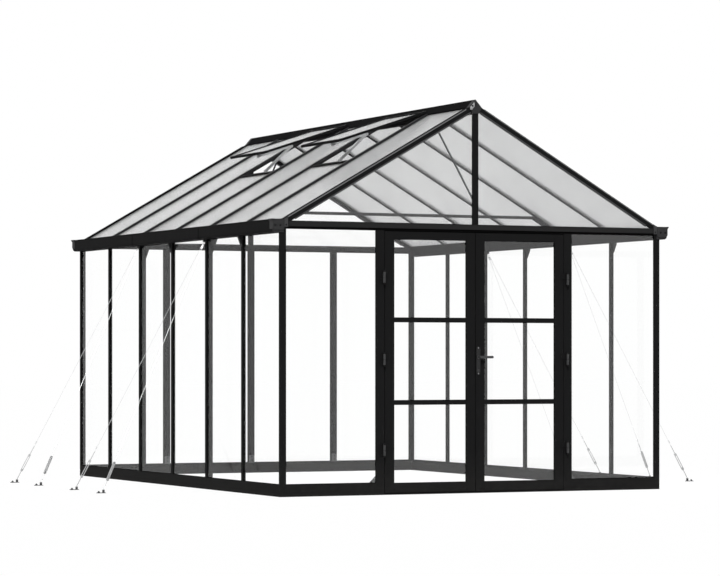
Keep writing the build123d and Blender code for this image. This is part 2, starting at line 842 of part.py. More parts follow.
# Lift-off hinges: the lower knuckle and pin stay on the jamb, the upper knuckle turns with the leaf
hinge_x = -door_half - hinge_set
hinge_y = -half_length - knuckle_radius - knuckle_proud
strap_y = -half_length - seat_gap - hinge_plate / 2
neck_y = (hinge_y + strap_y) / 2
leaf_strap = -leaf_outer + strap_reach
with BuildPart() as jamb_hinges:
    for height in hinge_heights:
        with BuildSketch(Plane.XY.offset(height - knuckle_gap / 2)):
            with Locations((hinge_x, hinge_y)):
                Circle(knuckle_radius)
            with Locations((hinge_x, neck_y)):
                Rectangle(knuckle_neck, strap_y - hinge_y)
            with Locations((hinge_x - (strap_reach - knuckle_neck) / 2, strap_y)):
                Rectangle(strap_reach, hinge_plate)
        extrude(amount=-knuckle_length)
        with BuildSketch(Plane.XY.offset(height - knuckle_gap / 2)):
            with Locations((hinge_x, hinge_y)):
                Circle(pin_radius)
        extrude(amount=knuckle_length - knuckle_radius)
    mirror(about=Plane.YZ)

with BuildPart() as left_door_hinges:
    for height in hinge_heights:
        with BuildSketch(Plane.XY.offset(height + knuckle_gap / 2)):
            with Locations((hinge_x, hinge_y)):
                Circle(knuckle_radius)
            with Locations((hinge_x, neck_y)):
                Rectangle(knuckle_neck, strap_y - hinge_y)
            with Locations(((hinge_x - knuckle_neck / 2 + leaf_strap) / 2, strap_y)):
                Rectangle(leaf_strap - hinge_x + knuckle_neck / 2, hinge_plate)
        extrude(amount=knuckle_length)
        with BuildSketch(Plane.XY.offset(height + knuckle_gap / 2)):
            with Locations((hinge_x, hinge_y)):
                Circle(pin_radius + pin_play)
        extrude(amount=knuckle_length - knuckle_radius, mode=Mode.SUBTRACT)

with BuildPart() as right_door_hinges:
    mirror(left_door_hinges.part, about=Plane.YZ)

# Handle on the right leaf
outer_face = half_length
inner_leaf_face = half_length - leaf_depth
with BuildPart() as handle_plates:
    for face, depth in ((outer_face, plate_depth), (inner_leaf_face, -plate_depth)):
        with BuildSketch(Plane.XZ.offset(face)):
            with Locations((spindle_x, plate_centre)):
                SlotOverall(plate_height, plate_width, rotation=90)
            with Locations((spindle_x, spindle_height)):
                Circle(spindle_radius + spindle_play, mode=Mode.SUBTRACT)
            with Locations((spindle_x, spindle_height - cylinder_drop)):
                Circle(cylinder_radius, mode=Mode.SUBTRACT)
        extrude(amount=depth)

with BuildPart() as lever_handle:
    spindle_out = outer_face + plate_depth + neck_length
    spindle_in = inner_leaf_face - plate_depth - neck_length
    for face, depth in ((spindle_out, -lever_depth), (spindle_in, lever_depth)):
        with BuildSketch(Plane.XZ.offset(face)):
            with Locations((spindle_x + (lever_reach - lever_height) / 2, spindle_height)):
                SlotOverall(lever_reach, lever_height)
        extrude(amount=depth)
    chamfer(lever_handle.faces().sort_by(Axis.Y)[0].edges(), lever_chamfer)
    chamfer(lever_handle.faces().sort_by(Axis.Y)[-1].edges(), lever_chamfer)
    with BuildSketch(Plane.XZ.offset(spindle_out - lever_depth / 2)):
        with Locations((spindle_x, spindle_height)):
            Circle(spindle_radius)
    extrude(amount=spindle_in - spindle_out + lever_depth)

# Stays
stay_x = -half_width - stay_proud
stay_ends = []
for line in portal_counts:
    for side in (-1, 1):
        top = Vector(stay_x, line_y(line) + side * stay_side, stay_height)
        foot = Vector(-peg_reach, line_y(line) + side * peg_spread, eye_height)
        stay_ends.append((foot, top))

with BuildPart() as stay_brackets:
    for line in portal_counts:
        with BuildSketch(left_plane(line_y(line) - bracket_plate / 2)):
            with Locations((bracket_depth / 2, (stay_height + beam_bottom) / 2)):
                Rectangle(bracket_depth, beam_bottom - stay_height)
        extrude(amount=bracket_plate)
    mirror(about=Plane.YZ)

with BuildPart() as stay_wires:
    for foot, top in stay_ends:
        along = (top - foot).normalized()
        start = foot + along * (2 * fork_length + screw_length)
        with BuildSketch(Plane(start, z_dir=along)):
            RegularPolygon(wire_radius, wire_sides)
        extrude(amount=(top - start).length - wire_radius / 2)
    mirror(about=Plane.YZ)

with BuildPart() as stay_turnbuckles:
    for foot, top in stay_ends:
        along = (top - foot).normalized()
        rod = fork_length + screw_tail
        for begin in (0, fork_length + screw_length - screw_tail):
            with BuildSketch(Plane(foot + along * begin, z_dir=along)):
                RegularPolygon(fork_radius, wire_sides)
            extrude(amount=rod)
        middle = foot + along * (fork_length + screw_length / 2)
        with BuildSketch(Plane(middle, x_dir=along, z_dir=along.cross(Vector(0, 0, 1)))) as barrel:
            Rectangle(screw_length, 2 * screw_radius)
            chamfer(barrel.vertices(), screw_chamfer)
            Rectangle(screw_length - 2 * screw_end, screw_slot, mode=Mode.SUBTRACT)
        extrude(amount=screw_thick, both=True)
    mirror(about=Plane.YZ)

with BuildPart() as ground_pegs:
    for foot, top in stay_ends:
        with BuildSketch(Plane.XY) as plate:
            with Locations((foot.X - plate_length / 2, foot.Y)):
                Rectangle(plate_length + plate_span, plate_span)
            chamfer(plate.vertices(), plate_corner)
        extrude(amount=plate_thick)
        with BuildSketch(Plane.XY):
            with Locations((foot.X, foot.Y)):
                Rectangle(tab_span, tab_thick)
        extrude(amount=eye_height - fork_radius / 2 - seat_gap)
        with BuildSketch(Plane.XY):
            with Locations((foot.X - plate_length, foot.Y)):
                RegularPolygon(dome_radius, head_sides)
        extrude(amount=dome_height, taper=dome_taper)
    mirror(about=Plane.YZ)

nodes = {
    "front_base_rails": front_base_rails,
    "back_base_rail": back_base_rail,
    "side_base_rails": side_base_rails,
    "door_threshold": door_threshold,
    "corner_posts": corner_posts,
    "left_wall_posts": left_wall_posts,
    "right_wall_posts": right_wall_posts,
    "back_wall_posts": back_wall_posts,
    "door_jambs": door_jambs,
    "eave_beams": eave_beams,
    "left_gutter": left_gutter,
    "right_gutter": right_gutter,
    "gutter_end_caps": gutter_end_caps,
    "gutter_brackets": gutter_brackets,
    "front_header": front_header,
    "back_header": back_header,
    "door_head_stop": door_head_stop,
    "gable_king_posts": gable_king_posts,
    "gable_rafters": gable_rafters,
    "left_rafters": left_rafters,
    "right_rafters": right_rafters,
    "ridge_beam": ridge_beam,
    "ridge_end_caps": ridge_end_caps,
    "portal_posts": portal_posts,
    "portal_knees": portal_knees,
    "tie_bars": tie_bars,
    "ridge_braces": ridge_braces,
    "vent_sills": vent_sills,
    "vent_hinges": vent_hinges,
    "vent_sashes": vent_sashes,
    "vent_panes": vent_panes,
    "vent_openers": vent_openers,
    "left_wall_glass": left_wall_glass,
    "right_wall_glass": right_wall_glass,
    "front_wall_glass": front_wall_glass,
    "back_wall_glass": back_wall_glass,
    "gable_glass": gable_glass,
    "left_roof_sheets": left_roof_sheets,
    "right_roof_sheets": right_roof_sheets,
    "left_door_stiles": left_door_stiles,
    "left_door_rails": left_door_rails,
    "left_door_glass": left_door_glass,
    "left_door_hinges": left_door_hinges,
    "right_door_stiles": right_door_stiles,
    "right_door_rails": right_door_rails,
    "right_door_glass": right_door_glass,
    "right_door_hinges": right_door_hinges,
    "handle_plates": handle_plates,
    "lever_handle": lever_handle,
    "jamb_hinges": jamb_hinges,
    "stay_brackets": stay_brackets,
    "stay_wires": stay_wires,
    "stay_turnbuckles": stay_turnbuckles,
    "ground_pegs": ground_pegs,
}
for name, node in nodes.items():
    node.part.label = name
    export_step(node.part, f"parts/{name}.step")
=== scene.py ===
"""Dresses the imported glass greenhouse: coats, glass, frosted roof, fittings, stage and camera."""

import json
import math

import bmesh
import bpy
from mathutils import Matrix, Vector


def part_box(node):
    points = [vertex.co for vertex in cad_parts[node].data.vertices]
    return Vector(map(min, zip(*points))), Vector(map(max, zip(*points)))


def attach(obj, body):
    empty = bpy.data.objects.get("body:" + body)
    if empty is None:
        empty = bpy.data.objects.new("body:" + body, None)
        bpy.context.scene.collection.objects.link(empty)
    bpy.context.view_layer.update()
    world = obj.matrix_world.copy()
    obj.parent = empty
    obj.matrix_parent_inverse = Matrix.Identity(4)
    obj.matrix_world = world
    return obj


bl_info = {
    "name": "Glass Greenhouse Dressing",
    "version": (1, 0, 0),
    "blender": (4, 5, 0),
    "location": "3D View > Sidebar > Greenhouse",
    "description": "Finishes and fittings for a glass greenhouse with a frosted roof",
    "category": "Object",
}

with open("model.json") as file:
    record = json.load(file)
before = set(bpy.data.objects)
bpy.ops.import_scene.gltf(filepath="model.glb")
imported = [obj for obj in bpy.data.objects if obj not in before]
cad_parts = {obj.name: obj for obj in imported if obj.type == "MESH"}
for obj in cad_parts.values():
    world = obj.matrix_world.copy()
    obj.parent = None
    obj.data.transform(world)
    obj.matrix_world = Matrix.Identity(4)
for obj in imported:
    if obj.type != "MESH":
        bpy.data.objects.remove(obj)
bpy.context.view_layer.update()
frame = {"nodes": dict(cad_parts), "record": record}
NODES = frame["nodes"]
SLOT_NODES = {}
for part in frame["record"]["subparts"]:
    SLOT_NODES.setdefault(part["material_slot"], []).append(part["node"])

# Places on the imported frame, in metres, from the low and high corners of its nodes
SIDE_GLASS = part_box("right_wall_glass")[1][0]
END_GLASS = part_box("back_wall_glass")[1][1]
GLASS_THICK = END_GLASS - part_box("back_wall_glass")[0][1]
BASE_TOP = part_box("back_base_rail")[1][2]
EAVE_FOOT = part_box("eave_beams")[0][2]
HEADER_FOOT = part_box("front_header")[0][2]
GABLE_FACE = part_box("gable_rafters")[1][1]
RIDGE_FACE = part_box("ridge_end_caps")[1][1] - 0.003
PORTAL_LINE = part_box("portal_posts")[1][1] - 0.014
KNUCKLE = 0.008
HINGE_PIN = (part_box("right_door_hinges")[1][0] - KNUCKLE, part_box("jamb_hinges")[0][1] + KNUCKLE)

# Widths above which a cap closes a gutter, and a bar of a vent runs down the slope
WIDE_CAP, LONG_BAR = 0.05, 0.1

# Fixing points that no corner gives: distance from the middle, and height
BAR_HEAD, GABLE_HEAD, GABLE_LIP = 0.0522, 0.0503, (0.0309, 2.7334)
JAMB_STRAP, LEAF_STRAP = 0.751, 0.703
LOCK_DROP, PLATE_SCREWS, KEYWAY = 0.096, (1.0420, 0.8575), (0.8755, 0.8835)
VENT_PIVOTS = ((-0.6787, 2.4229), (-0.7403, 2.5372), (-0.4640, 2.6225))
KNEE_BOLTS = ((1.463, 1.800), (1.450, 1.880), (1.330, 1.9915), (1.240, 2.043))

# Directions
OUTWARD, RIDGE_WAY, FORWARD, UP = (1.0, 0.0, 0.0), (0.0, 1.0, 0.0), (0.0, -1.0, 0.0), (0.0, 0.0, 1.0)


class GreenhouseFinish(bpy.types.PropertyGroup):
    """Colours of the greenhouse's finishes."""

    coat: bpy.props.FloatVectorProperty(
        name="Coat", description="Matt black coat of the bars", subtype="COLOR",
        default=(0.0105, 0.0105, 0.0108))
    coat_worn: bpy.props.FloatVectorProperty(
        name="Coat Highs", description="Greyer tone of the coat", subtype="COLOR",
        default=(0.0132, 0.0132, 0.0135))
    cap: bpy.props.FloatVectorProperty(
        name="Caps", description="Moulded end caps", subtype="COLOR", default=(0.03, 0.03, 0.031))
    fitting: bpy.props.FloatVectorProperty(
        name="Fittings", description="Handle plates and sash hinges", subtype="COLOR",
        default=(0.009, 0.009, 0.0095))
    satin: bpy.props.FloatVectorProperty(
        name="Satin", description="Header faces and vent corner plates", subtype="COLOR",
        default=(0.012, 0.012, 0.0123))
    # Light tone of the strips along the roof bars: a painted highlight line down each bar
    bar: bpy.props.FloatVectorProperty(
        name="Bar Strips", description="Strips along the roof bars", subtype="COLOR",
        default=(0.06, 0.06, 0.061))
    # Lighter copy of the black coat for the roof bars, braces and tie bars: painted sheen
    bar_coat_painted_sheen: bpy.props.FloatVectorProperty(
        name="Bars", description="Roof bars, braces and tie bars", subtype="COLOR",
        default=(0.03, 0.03, 0.031))
    # Light grey of the strips on the gable rafters' front top edges: a painted highlight line
    strip: bpy.props.FloatVectorProperty(
        name="Strips", description="Grey strips on the gable rafters' front edges", subtype="COLOR",
        default=(0.18, 0.181, 0.183))
    bead: bpy.props.FloatVectorProperty(
        name="Beads", description="Grey beads under the gable rafters", subtype="COLOR",
        default=(0.072, 0.073, 0.075))
    # Near-black rubber tone of the gaskets, seals and dark screws; on the header strips under the noses it is
    # painted shade
    rubber_and_painted_shade: bpy.props.FloatVectorProperty(
        name="Rubber", description="Gaskets, seals and dark screws", subtype="COLOR",
        default=(0.0025, 0.0025, 0.0025))
    sleeve: bpy.props.FloatVectorProperty(
        name="Sleeves", description="Hinge sleeves and foot plates", subtype="COLOR",
        default=(0.033, 0.033, 0.034))
    lever: bpy.props.FloatVectorProperty(
        name="Lever", description="Lever handle and its collars", subtype="COLOR",
        default=(0.047, 0.047, 0.048))
    # Light alloy tone: real metal on the vent pins, a painted highlight on the ridge plates and the handle
    # plate screws
    alloy_and_glint: bpy.props.FloatVectorProperty(
        name="Alloy", description="Ridge plates, vent pins and bright screws", subtype="COLOR",
        default=(0.3, 0.303, 0.308))
    glass: bpy.props.FloatVectorProperty(
        name="Glass", description="Clear wall glass", subtype="COLOR", default=(0.998, 1.0, 0.999))
    sheet: bpy.props.FloatVectorProperty(
        name="Sheet", description="Frosted roof sheet", subtype="COLOR", default=(0.78, 0.783, 0.785))
    opener: bpy.props.FloatVectorProperty(
        name="Opener", description="Vent opener arms", subtype="COLOR", default=(0.4, 0.405, 0.41))
    wire: bpy.props.FloatVectorProperty(
        name="Wire", description="Steel stay wire", subtype="COLOR", default=(0.74, 0.745, 0.75))
    buckle: bpy.props.FloatVectorProperty(
        name="Turnbuckles", description="Steel turnbuckles", subtype="COLOR", default=(0.52, 0.524, 0.528))
    peg: bpy.props.FloatVectorProperty(
        name="Pegs", description="Ground pegs and post feet", subtype="COLOR", default=(0.11, 0.112, 0.115))
    dust: bpy.props.FloatVectorProperty(
        name="Dust", description="Pale dust low on the frame", subtype="COLOR", default=(0.03, 0.029, 0.0275))


class GreenhouseTrim(bpy.types.PropertyGroup):
    """Sizes of the small pieces that finish the greenhouse."""

    pitch: bpy.props.FloatProperty(
        name="Roof Pitch", description="Slope of the roof bars", subtype="ANGLE", default=math.radians(29.8))
    vent_pitch: bpy.props.FloatProperty(
        name="Vent Pitch", description="Slope of the open vents", subtype="ANGLE", default=math.radians(18.1))
    screw: bpy.props.FloatProperty(
        name="Screw", description="Radius of a screw head", unit="LENGTH", default=0.0075)
    gasket: bpy.props.FloatProperty(
        name="Gasket", description="Width of a glazing gasket", unit="LENGTH", default=0.0016)
    sill_gasket: bpy.props.FloatProperty(
        name="Sill Gasket", description="Height of the gasket along the base", unit="LENGTH", default=0.005)
    gasket_depth: bpy.props.FloatProperty(
        name="Gasket Depth", description="How far a gasket stands off the glass", unit="LENGTH",
        default=0.003)
    strip: bpy.props.FloatProperty(
        name="Cover Strip", description="Width of the cover strip on a roof bar", unit="LENGTH",
        default=0.018)
    sheet_metal: bpy.props.FloatProperty(
        name="Sheet Metal", description="Thickness of plates and strips", unit="LENGTH", default=0.003)
    edge: bpy.props.FloatProperty(
        name="Edge", description="Rounding of a small piece's edges", unit="LENGTH", default=0.0008)


class GreenhouseStage(bpy.types.PropertyGroup):
    """Camera, light and floor."""

    eye: bpy.props.FloatVectorProperty(
        name="Eye", description="Place of the camera", subtype="TRANSLATION", unit="LENGTH",
        default=(-9.68295, -21.11538, 0.9728))
    heading: bpy.props.FloatProperty(
        name="Heading", description="Turn of the level view from the ridge line", subtype="ANGLE",
        default=math.radians(-24.7533))
    lens: bpy.props.FloatProperty(name="Lens", description="Focal length on a 36 mm sensor", default=148.5225)
    lift: bpy.props.FloatProperty(
        name="Lift", description="Upward shift of the frame, as a share of its width", default=0.09658)
    floor_span: bpy.props.FloatProperty(
        name="Floor", description="Width of the floor", unit="LENGTH", default=160.0)
    sky: bpy.props.FloatProperty(name="Sky", description="Strength of the light all round", default=0.32)
    key: bpy.props.FloatProperty(name="Key", description="Strength of the key light", default=2.15)
    key_side: bpy.props.FloatVectorProperty(
        name="Key Side", description="Side that the key light comes from", subtype="DIRECTION",
        default=(-0.4, -0.72, 0.57))
    key_spread: bpy.props.FloatProperty(
        name="Key Spread", description="Width of the key light", subtype="ANGLE", default=math.radians(9.0))


def new_material(name):
    """Empty node material with its Principled shader and output."""
    material = bpy.data.materials.new(name)
    material.use_nodes = True
    nodes = material.node_tree.nodes
    return material, nodes, material.node_tree.links, nodes["Principled BSDF"]


def add_sockets(tree, way, colours, numbers):
    """Named colour and number sockets on one side of a node group."""
    for name in colours:
        tree.interface.new_socket(name, in_out=way, socket_type="NodeSocketColor")
    for name in numbers:
        tree.interface.new_socket(name, in_out=way, socket_type="NodeSocketFloat")


def set_inputs(node, values):
    """Values of a node's named inputs."""
    for name, value in values.items():
        node.inputs[name].default_value = value


def feed(tree, socket, source):
    """Links a source to a socket, or sets the socket when the source is a value."""
    if isinstance(source, bpy.types.NodeSocket):
        tree.links.new(source, socket)
    else:
        socket.default_value = source


def add_noise(tree, place, scale, detail):
    """Noise texture over a place."""
    noise = tree.nodes.new("ShaderNodeTexNoise")
    for name, source in (("Vector", place), ("Scale", scale), ("Detail", detail)):
        feed(tree, noise.inputs[name], source)
    return noise.outputs["Fac"]


def add_blend(tree, share, first, second):
    """Mix of two colours by a share."""
    blend = tree.nodes.new("ShaderNodeMix")
    blend.data_type = "RGBA"
    for name, source in (("Factor", share), ("A", first), ("B", second)):
        feed(tree, blend.inputs[name], source)
    return blend.outputs["Result"]


def add_math(tree, operation, *terms):
    """Result of an operation on its terms."""
    node = tree.nodes.new("ShaderNodeMath")
    node.operation = operation
    for socket, term in zip(node.inputs, terms):
        feed(tree, socket, term)
    return node.outputs["Value"]


def skin_group():
    """Node group for a coated surface: tone that drifts, dust low down and a fine pebbled height."""
    if "coated_skin" in bpy.data.node_groups:
        return bpy.data.node_groups["coated_skin"]
    tree = bpy.data.node_groups.new("coated_skin", "ShaderNodeTree")
    add_sockets(tree, "INPUT", ("Tone", "High Tone", "Dust"), ("Roughness", "Pebble"))
    add_sockets(tree, "OUTPUT", ("Color",), ("Roughness", "Height"))
    nodes, links = tree.nodes, tree.links
    given = nodes.new("NodeGroupInput")
    result = nodes.new("NodeGroupOutput")
    place = nodes.new("ShaderNodeTexCoord").outputs["Object"]

    drift = add_noise(tree, place, 3.5, 5.0)
    tone = add_blend(tree, drift, given.outputs["Tone"], given.outputs["High Tone"])

    split = nodes.new("ShaderNodeSeparateXYZ")
    links.new(place, split.inputs["Vector"])
    low = nodes.new("ShaderNodeMapRange")
    set_inputs(low, {"From Min": 0.0, "From Max": 0.3, "To Min": 0.6, "To Max": 0.0})
    links.new(split.outputs["Z"], low.inputs["Value"])
    specks = add_noise(tree, place, 24.0, 6.0)
    share = add_math(tree, "MULTIPLY", low.outputs["Result"], specks)
    dusted = add_blend(tree, share, tone, given.outputs["Dust"])
    links.new(dusted, result.inputs["Color"])

    rough = add_math(tree, "MULTIPLY_ADD", specks, 0.16, given.outputs["Roughness"])
    links.new(rough, result.inputs["Roughness"])
    links.new(add_noise(tree, place, given.outputs["Pebble"], 2.0), result.inputs["Height"])
    return tree


def coated(name, tone, dust, roughness, edge, high=None, pebble=900.0, metallic=0.0, specular=0.1):
    """Material of a coated or moulded piece with softened edges; its tone drifts towards the high tone."""
    material, nodes, links, shader = new_material(name)
    skin = nodes.new("ShaderNodeGroup")
    skin.node_tree = skin_group()
    set_inputs(skin, {"Tone": (*tone, 1.0), "High Tone": (*(high or tone), 1.0), "Dust": (*dust, 1.0),
                      "Roughness": roughness, "Pebble": pebble})
    links.new(skin.outputs["Color"], shader.inputs["Base Color"])
    links.new(skin.outputs["Roughness"], shader.inputs["Roughness"])
    soft = nodes.new("ShaderNodeBevel")
    soft.samples = 4
    soft.inputs["Radius"].default_value = edge
    bump = nodes.new("ShaderNodeBump")
    set_inputs(bump, {"Strength": 0.12, "Distance": 0.0006})
    links.new(skin.outputs["Height"], bump.inputs["Height"])
    links.new(soft.outputs["Normal"], bump.inputs["Normal"])
    links.new(bump.outputs["Normal"], shader.inputs["Normal"])
    shader.inputs["Metallic"].default_value = metallic
    shader.inputs["Specular IOR Level"].default_value = specular
    return material


def film_group():
    """Node group for a thin uneven film on glass: streaks that run down, as a tint and a roughness."""
    if "glass_film" in bpy.data.node_groups:
        return bpy.data.node_groups["glass_film"]
    tree = bpy.data.node_groups.new("glass_film", "ShaderNodeTree")
    add_sockets(tree, "INPUT", ("Tint", "Film"), ("Roughness", "Spread"))
    add_sockets(tree, "OUTPUT", ("Color",), ("Roughness",))
    nodes, links = tree.nodes, tree.links
    given = nodes.new("NodeGroupInput")
    result = nodes.new("NodeGroupOutput")
    place = nodes.new("ShaderNodeTexCoord")
    stretch = nodes.new("ShaderNodeMapping")
    stretch.inputs["Scale"].default_value = (7.0, 7.0, 0.9)
    links.new(place.outputs["Object"], stretch.inputs["Vector"])
    streak = add_noise(tree, stretch.outputs["Vector"], 1.6, 6.0)
    blend = add_blend(tree, streak, given.outputs["Tint"], given.outputs["Film"])
    links.new(blend, result.inputs["Color"])
    rough = add_math(tree, "MULTIPLY_ADD", streak, given.outputs["Spread"], given.outputs["Roughness"])
    links.new(rough, result.inputs["Roughness"])
    return tree


def see_through(name, tint, film, roughness, spread, ior, clear, through=1.0):
    """Glass or sheet with a film that varies over it; lamp light passes it tinted by clear."""
    material, nodes, links, shader = new_material(name)
    layer = nodes.new("ShaderNodeGroup")
    layer.node_tree = film_group()
    set_inputs(layer, {"Tint": (*tint, 1.0), "Film": (*film, 1.0), "Roughness": roughness, "Spread": spread})
    links.new(layer.outputs["Color"], shader.inputs["Base Color"])
    links.new(layer.outputs["Roughness"], shader.inputs["Roughness"])
    shader.inputs["IOR"].default_value = ior
    shader.inputs["Transmission Weight"].default_value = through
    passing = nodes.new("ShaderNodeBsdfTransparent")
    passing.inputs["Color"].default_value = (*clear, 1.0)
    path = nodes.new("ShaderNodeLightPath")
    mix = nodes.new("ShaderNodeMixShader")
    links.new(path.outputs["Is Shadow Ray"], mix.inputs["Fac"])
    links.new(shader.outputs["BSDF"], mix.inputs[1])
    links.new(passing.outputs["BSDF"], mix.inputs[2])
    links.new(mix.outputs["Shader"], nodes["Material Output"].inputs["Surface"])
    return material


def dress(slot, material):
    """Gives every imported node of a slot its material."""
    for name in SLOT_NODES.get(slot, []):
        NODES[name].data.materials.clear()
        NODES[name].data.materials.append(material)


def paint(names, material):
    """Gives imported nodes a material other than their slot's."""
    for name in names:
        NODES[name].data.materials[0] = material


def side_of(value):
    """Minus one on the left or at the front, one on the right or at the back."""
    return -1.0 if value < 0.0 else 1.0


def solids(node):
    """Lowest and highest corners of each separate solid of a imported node, from a merged copy of its mesh."""
    shape = bmesh.new()
    shape.from_mesh(NODES[node].data)
    bmesh.ops.remove_doubles(shape, verts=shape.verts, dist=0.00001)
    waiting = set(shape.verts)
    boxes = []
    while waiting:
        reached = [waiting.pop()]
        island = []
        while reached:
            vert = reached.pop()
            island.append(vert.co)
            for edge in vert.link_edges:
                other = edge.other_vert(vert)
                if other in waiting:
                    waiting.discard(other)
                    reached.append(other)
        low = Vector([min(place[axis] for place in island) for axis in range(3)])
        high = Vector([max(place[axis] for place in island) for axis in range(3)])
        boxes.append((low, high))
    shape.free()
    return sorted(boxes, key=lambda box: tuple(box[0]))


def clear_between(boxes, axis):
    """Clear spans between neighbouring boxes along an axis."""
    ordered = sorted(boxes, key=lambda box: box[0][axis])
    return [(first[1][axis], second[0][axis]) for first, second in zip(ordered, ordered[1:])]


def make_piece(name, shape, material):
    """Object of a finished shape, linked to the scene."""
    mesh = bpy.data.meshes.new(name)
    shape.to_mesh(mesh)
    shape.free()
    mesh.materials.append(material)
    piece = bpy.data.objects.new(name, mesh)
    bpy.context.scene.collection.objects.link(piece)
    return piece


def put(name, shape, finish, body="house"):
    """Closes a shaped piece with its finish and lets it ride on its body."""
    bmesh.ops.recalc_face_normals(shape, faces=shape.faces)
    piece = make_piece(name, shape, bpy.data.materials[finish])
    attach(piece, body)


def bevel(shape, edges, width):
    """Rounds edges in two steps."""
    bmesh.ops.bevel(shape, geom=list(edges), offset=width, offset_type="OFFSET", segments=2, profile=0.5,
                    affect="EDGES", material=-1, clamp_overlap=True)


def round_edges(shape, verts, edge):
    """Rounds every edge between the given corners."""
    edges = {link for vert in verts for link in vert.link_edges}
    bevel(shape, edges, edge)


def add_block(shape, middle, size):
    """Square-edged block; returns its corners for cutting and rounding."""
    place = Matrix.Translation(middle) @ Matrix.Diagonal((*size, 1.0))
    return bmesh.ops.create_cube(shape, size=1.0, matrix=place)["verts"]


def add_plate(shape, corner, other, edge):
    """Flat plate between two opposite corners, with rounded edges."""
    corner, other = Vector(corner), Vector(other)
    size = [abs(length) for length in other - corner]
    round_edges(shape, add_block(shape, (corner + other) / 2, size), edge)


def add_run(shape, start, end, side, wide, thick, edge):
    """Strip along a line: wide across the side direction, thick across the third."""
    start, end, side = Vector(start), Vector(end), Vector(side).normalized()
    along = end - start
    third = along.normalized().cross(side)
    columns = Matrix((along, side * wide, third * thick)).transposed().to_4x4()
    made = bmesh.ops.create_cube(shape, size=1.0, matrix=Matrix.Translation((start + end) / 2) @ columns)
    round_edges(shape, made["verts"], edge)


def add_slope_run(shape, head, down, span, side, wide, thick, edge):
    """Strip down the roof, between two distances from its head."""
    add_run(shape, head + down * span[0], head + down * span[1], side, wide, thick, edge)


def slope(side, pitch):
    """Directions down a roof slope and out of it."""
    rise, run = math.sin(pitch), math.cos(pitch)
    return Vector((side * run, 0.0, -rise)), Vector((side * rise, 0.0, run))


def trim(shape, verts, point, normal):
    """Cuts the piece of the given corners along a plane and closes the cut."""
    geom = set(verts)
    for vert in verts:
        geom.update(vert.link_edges)
        geom.update(vert.link_faces)
    cut = bmesh.ops.bisect_plane(shape, geom=list(geom), plane_co=point, plane_no=normal, clear_outer=True)
    rim = [item for item in cut["geom_cut"] if isinstance(item, bmesh.types.BMEdge)]
    bmesh.ops.holes_fill(shape, edges=rim, sides=0)
    left = [vert for vert in verts if vert.is_valid]
    return left + [item for item in cut["geom_cut"] if isinstance(item, bmesh.types.BMVert)]


def turned(place, out, lift):
    """Matrix that stands a shape's own Z along a direction, lifted along it."""
    out = Vector(out).normalized()
    return Matrix.Translation(Vector(place) + out * lift) @ out.to_track_quat("Z", "Y").to_matrix().to_4x4()


def top_face(verts, out):
    """Face of the given corners that lies farthest along a direction."""
    faces = {face for vert in verts for face in vert.link_faces}
    return max(faces, key=lambda face: face.calc_center_median().dot(Vector(out)))


def add_screw(shape, place, out, radius, sides=10):
    """Pan head with a sunk drive."""
    proud = radius * 0.45
    made = bmesh.ops.create_cone(shape, cap_ends=True, segments=sides, radius1=radius, radius2=radius * 0.72,
                                 depth=proud, matrix=turned(place, out, proud / 2))
    head = top_face(made["verts"], out)
    bmesh.ops.inset_individual(shape, faces=[head], thickness=radius * 0.3, depth=0.0)
    bmesh.ops.inset_individual(shape, faces=[head], thickness=radius * 0.04, depth=-proud * 0.7)


def add_bolt(shape, place, out, radius):
    """Hexagon head on a round washer."""
    washer, head = radius * 0.22, radius * 0.75
    bmesh.ops.create_cone(shape, cap_ends=True, segments=16, radius1=radius * 1.5, radius2=radius * 1.4,
                          depth=washer, matrix=turned(place, out, washer / 2))
    made = bmesh.ops.create_cone(shape, cap_ends=True, segments=6, radius1=radius, radius2=radius,
                                 depth=head, matrix=turned(place, out, washer + head / 2))
    face = top_face(made["verts"], out)
    bmesh.ops.inset_individual(shape, faces=[face], thickness=radius * 0.16, depth=radius * 0.12)


def add_barrel(shape, start, end, radius, edge, sides=20):
    """Round bar between two points with rounded rims."""
    start, end = Vector(start), Vector(end)
    along = end - start
    made = bmesh.ops.create_cone(shape, cap_ends=True, segments=sides, radius1=radius, radius2=radius,
                                 depth=along.length, matrix=turned(start, along, along.length / 2))
    rims = {link for vert in made["verts"] for link in vert.link_edges
            if abs((link.verts[0].co - link.verts[1].co).dot(along.normalized())) < along.length / 2}
    bevel(shape, rims, edge)


def add_ring(shape, low, high, across, width, depth):
    """Square-cut ring along the rim of an opening; across is the axis through the pane."""
    low, high = Vector(low), Vector(high)
    first, second = [axis for axis in range(3) if axis != across]
    place = Matrix.Translation((low + high) / 2) @ Matrix.Diagonal((0.0, 0.0, 0.0, 1.0))
    place[first][0] = high[first] - low[first]
    place[second][1] = high[second] - low[second]
    place[across][2] = 1.0
    made = bmesh.ops.create_grid(shape, x_segments=1, y_segments=1, size=0.5, matrix=place)
    face = made["verts"][0].link_faces[0]
    ring = bmesh.ops.inset_region(shape, faces=[face], thickness=width, use_boundary=True,
                                  use_even_offset=True)["faces"]
    bmesh.ops.delete(shape, geom=[face], context="FACES")
    grown = bmesh.ops.extrude_face_region(shape, geom=ring)
    step = Vector((0.0, 0.0, 0.0))
    step[across] = depth
    moved = [item for item in grown["geom"] if isinstance(item, bmesh.types.BMVert)]
    bmesh.ops.translate(shape, vec=step, verts=moved)


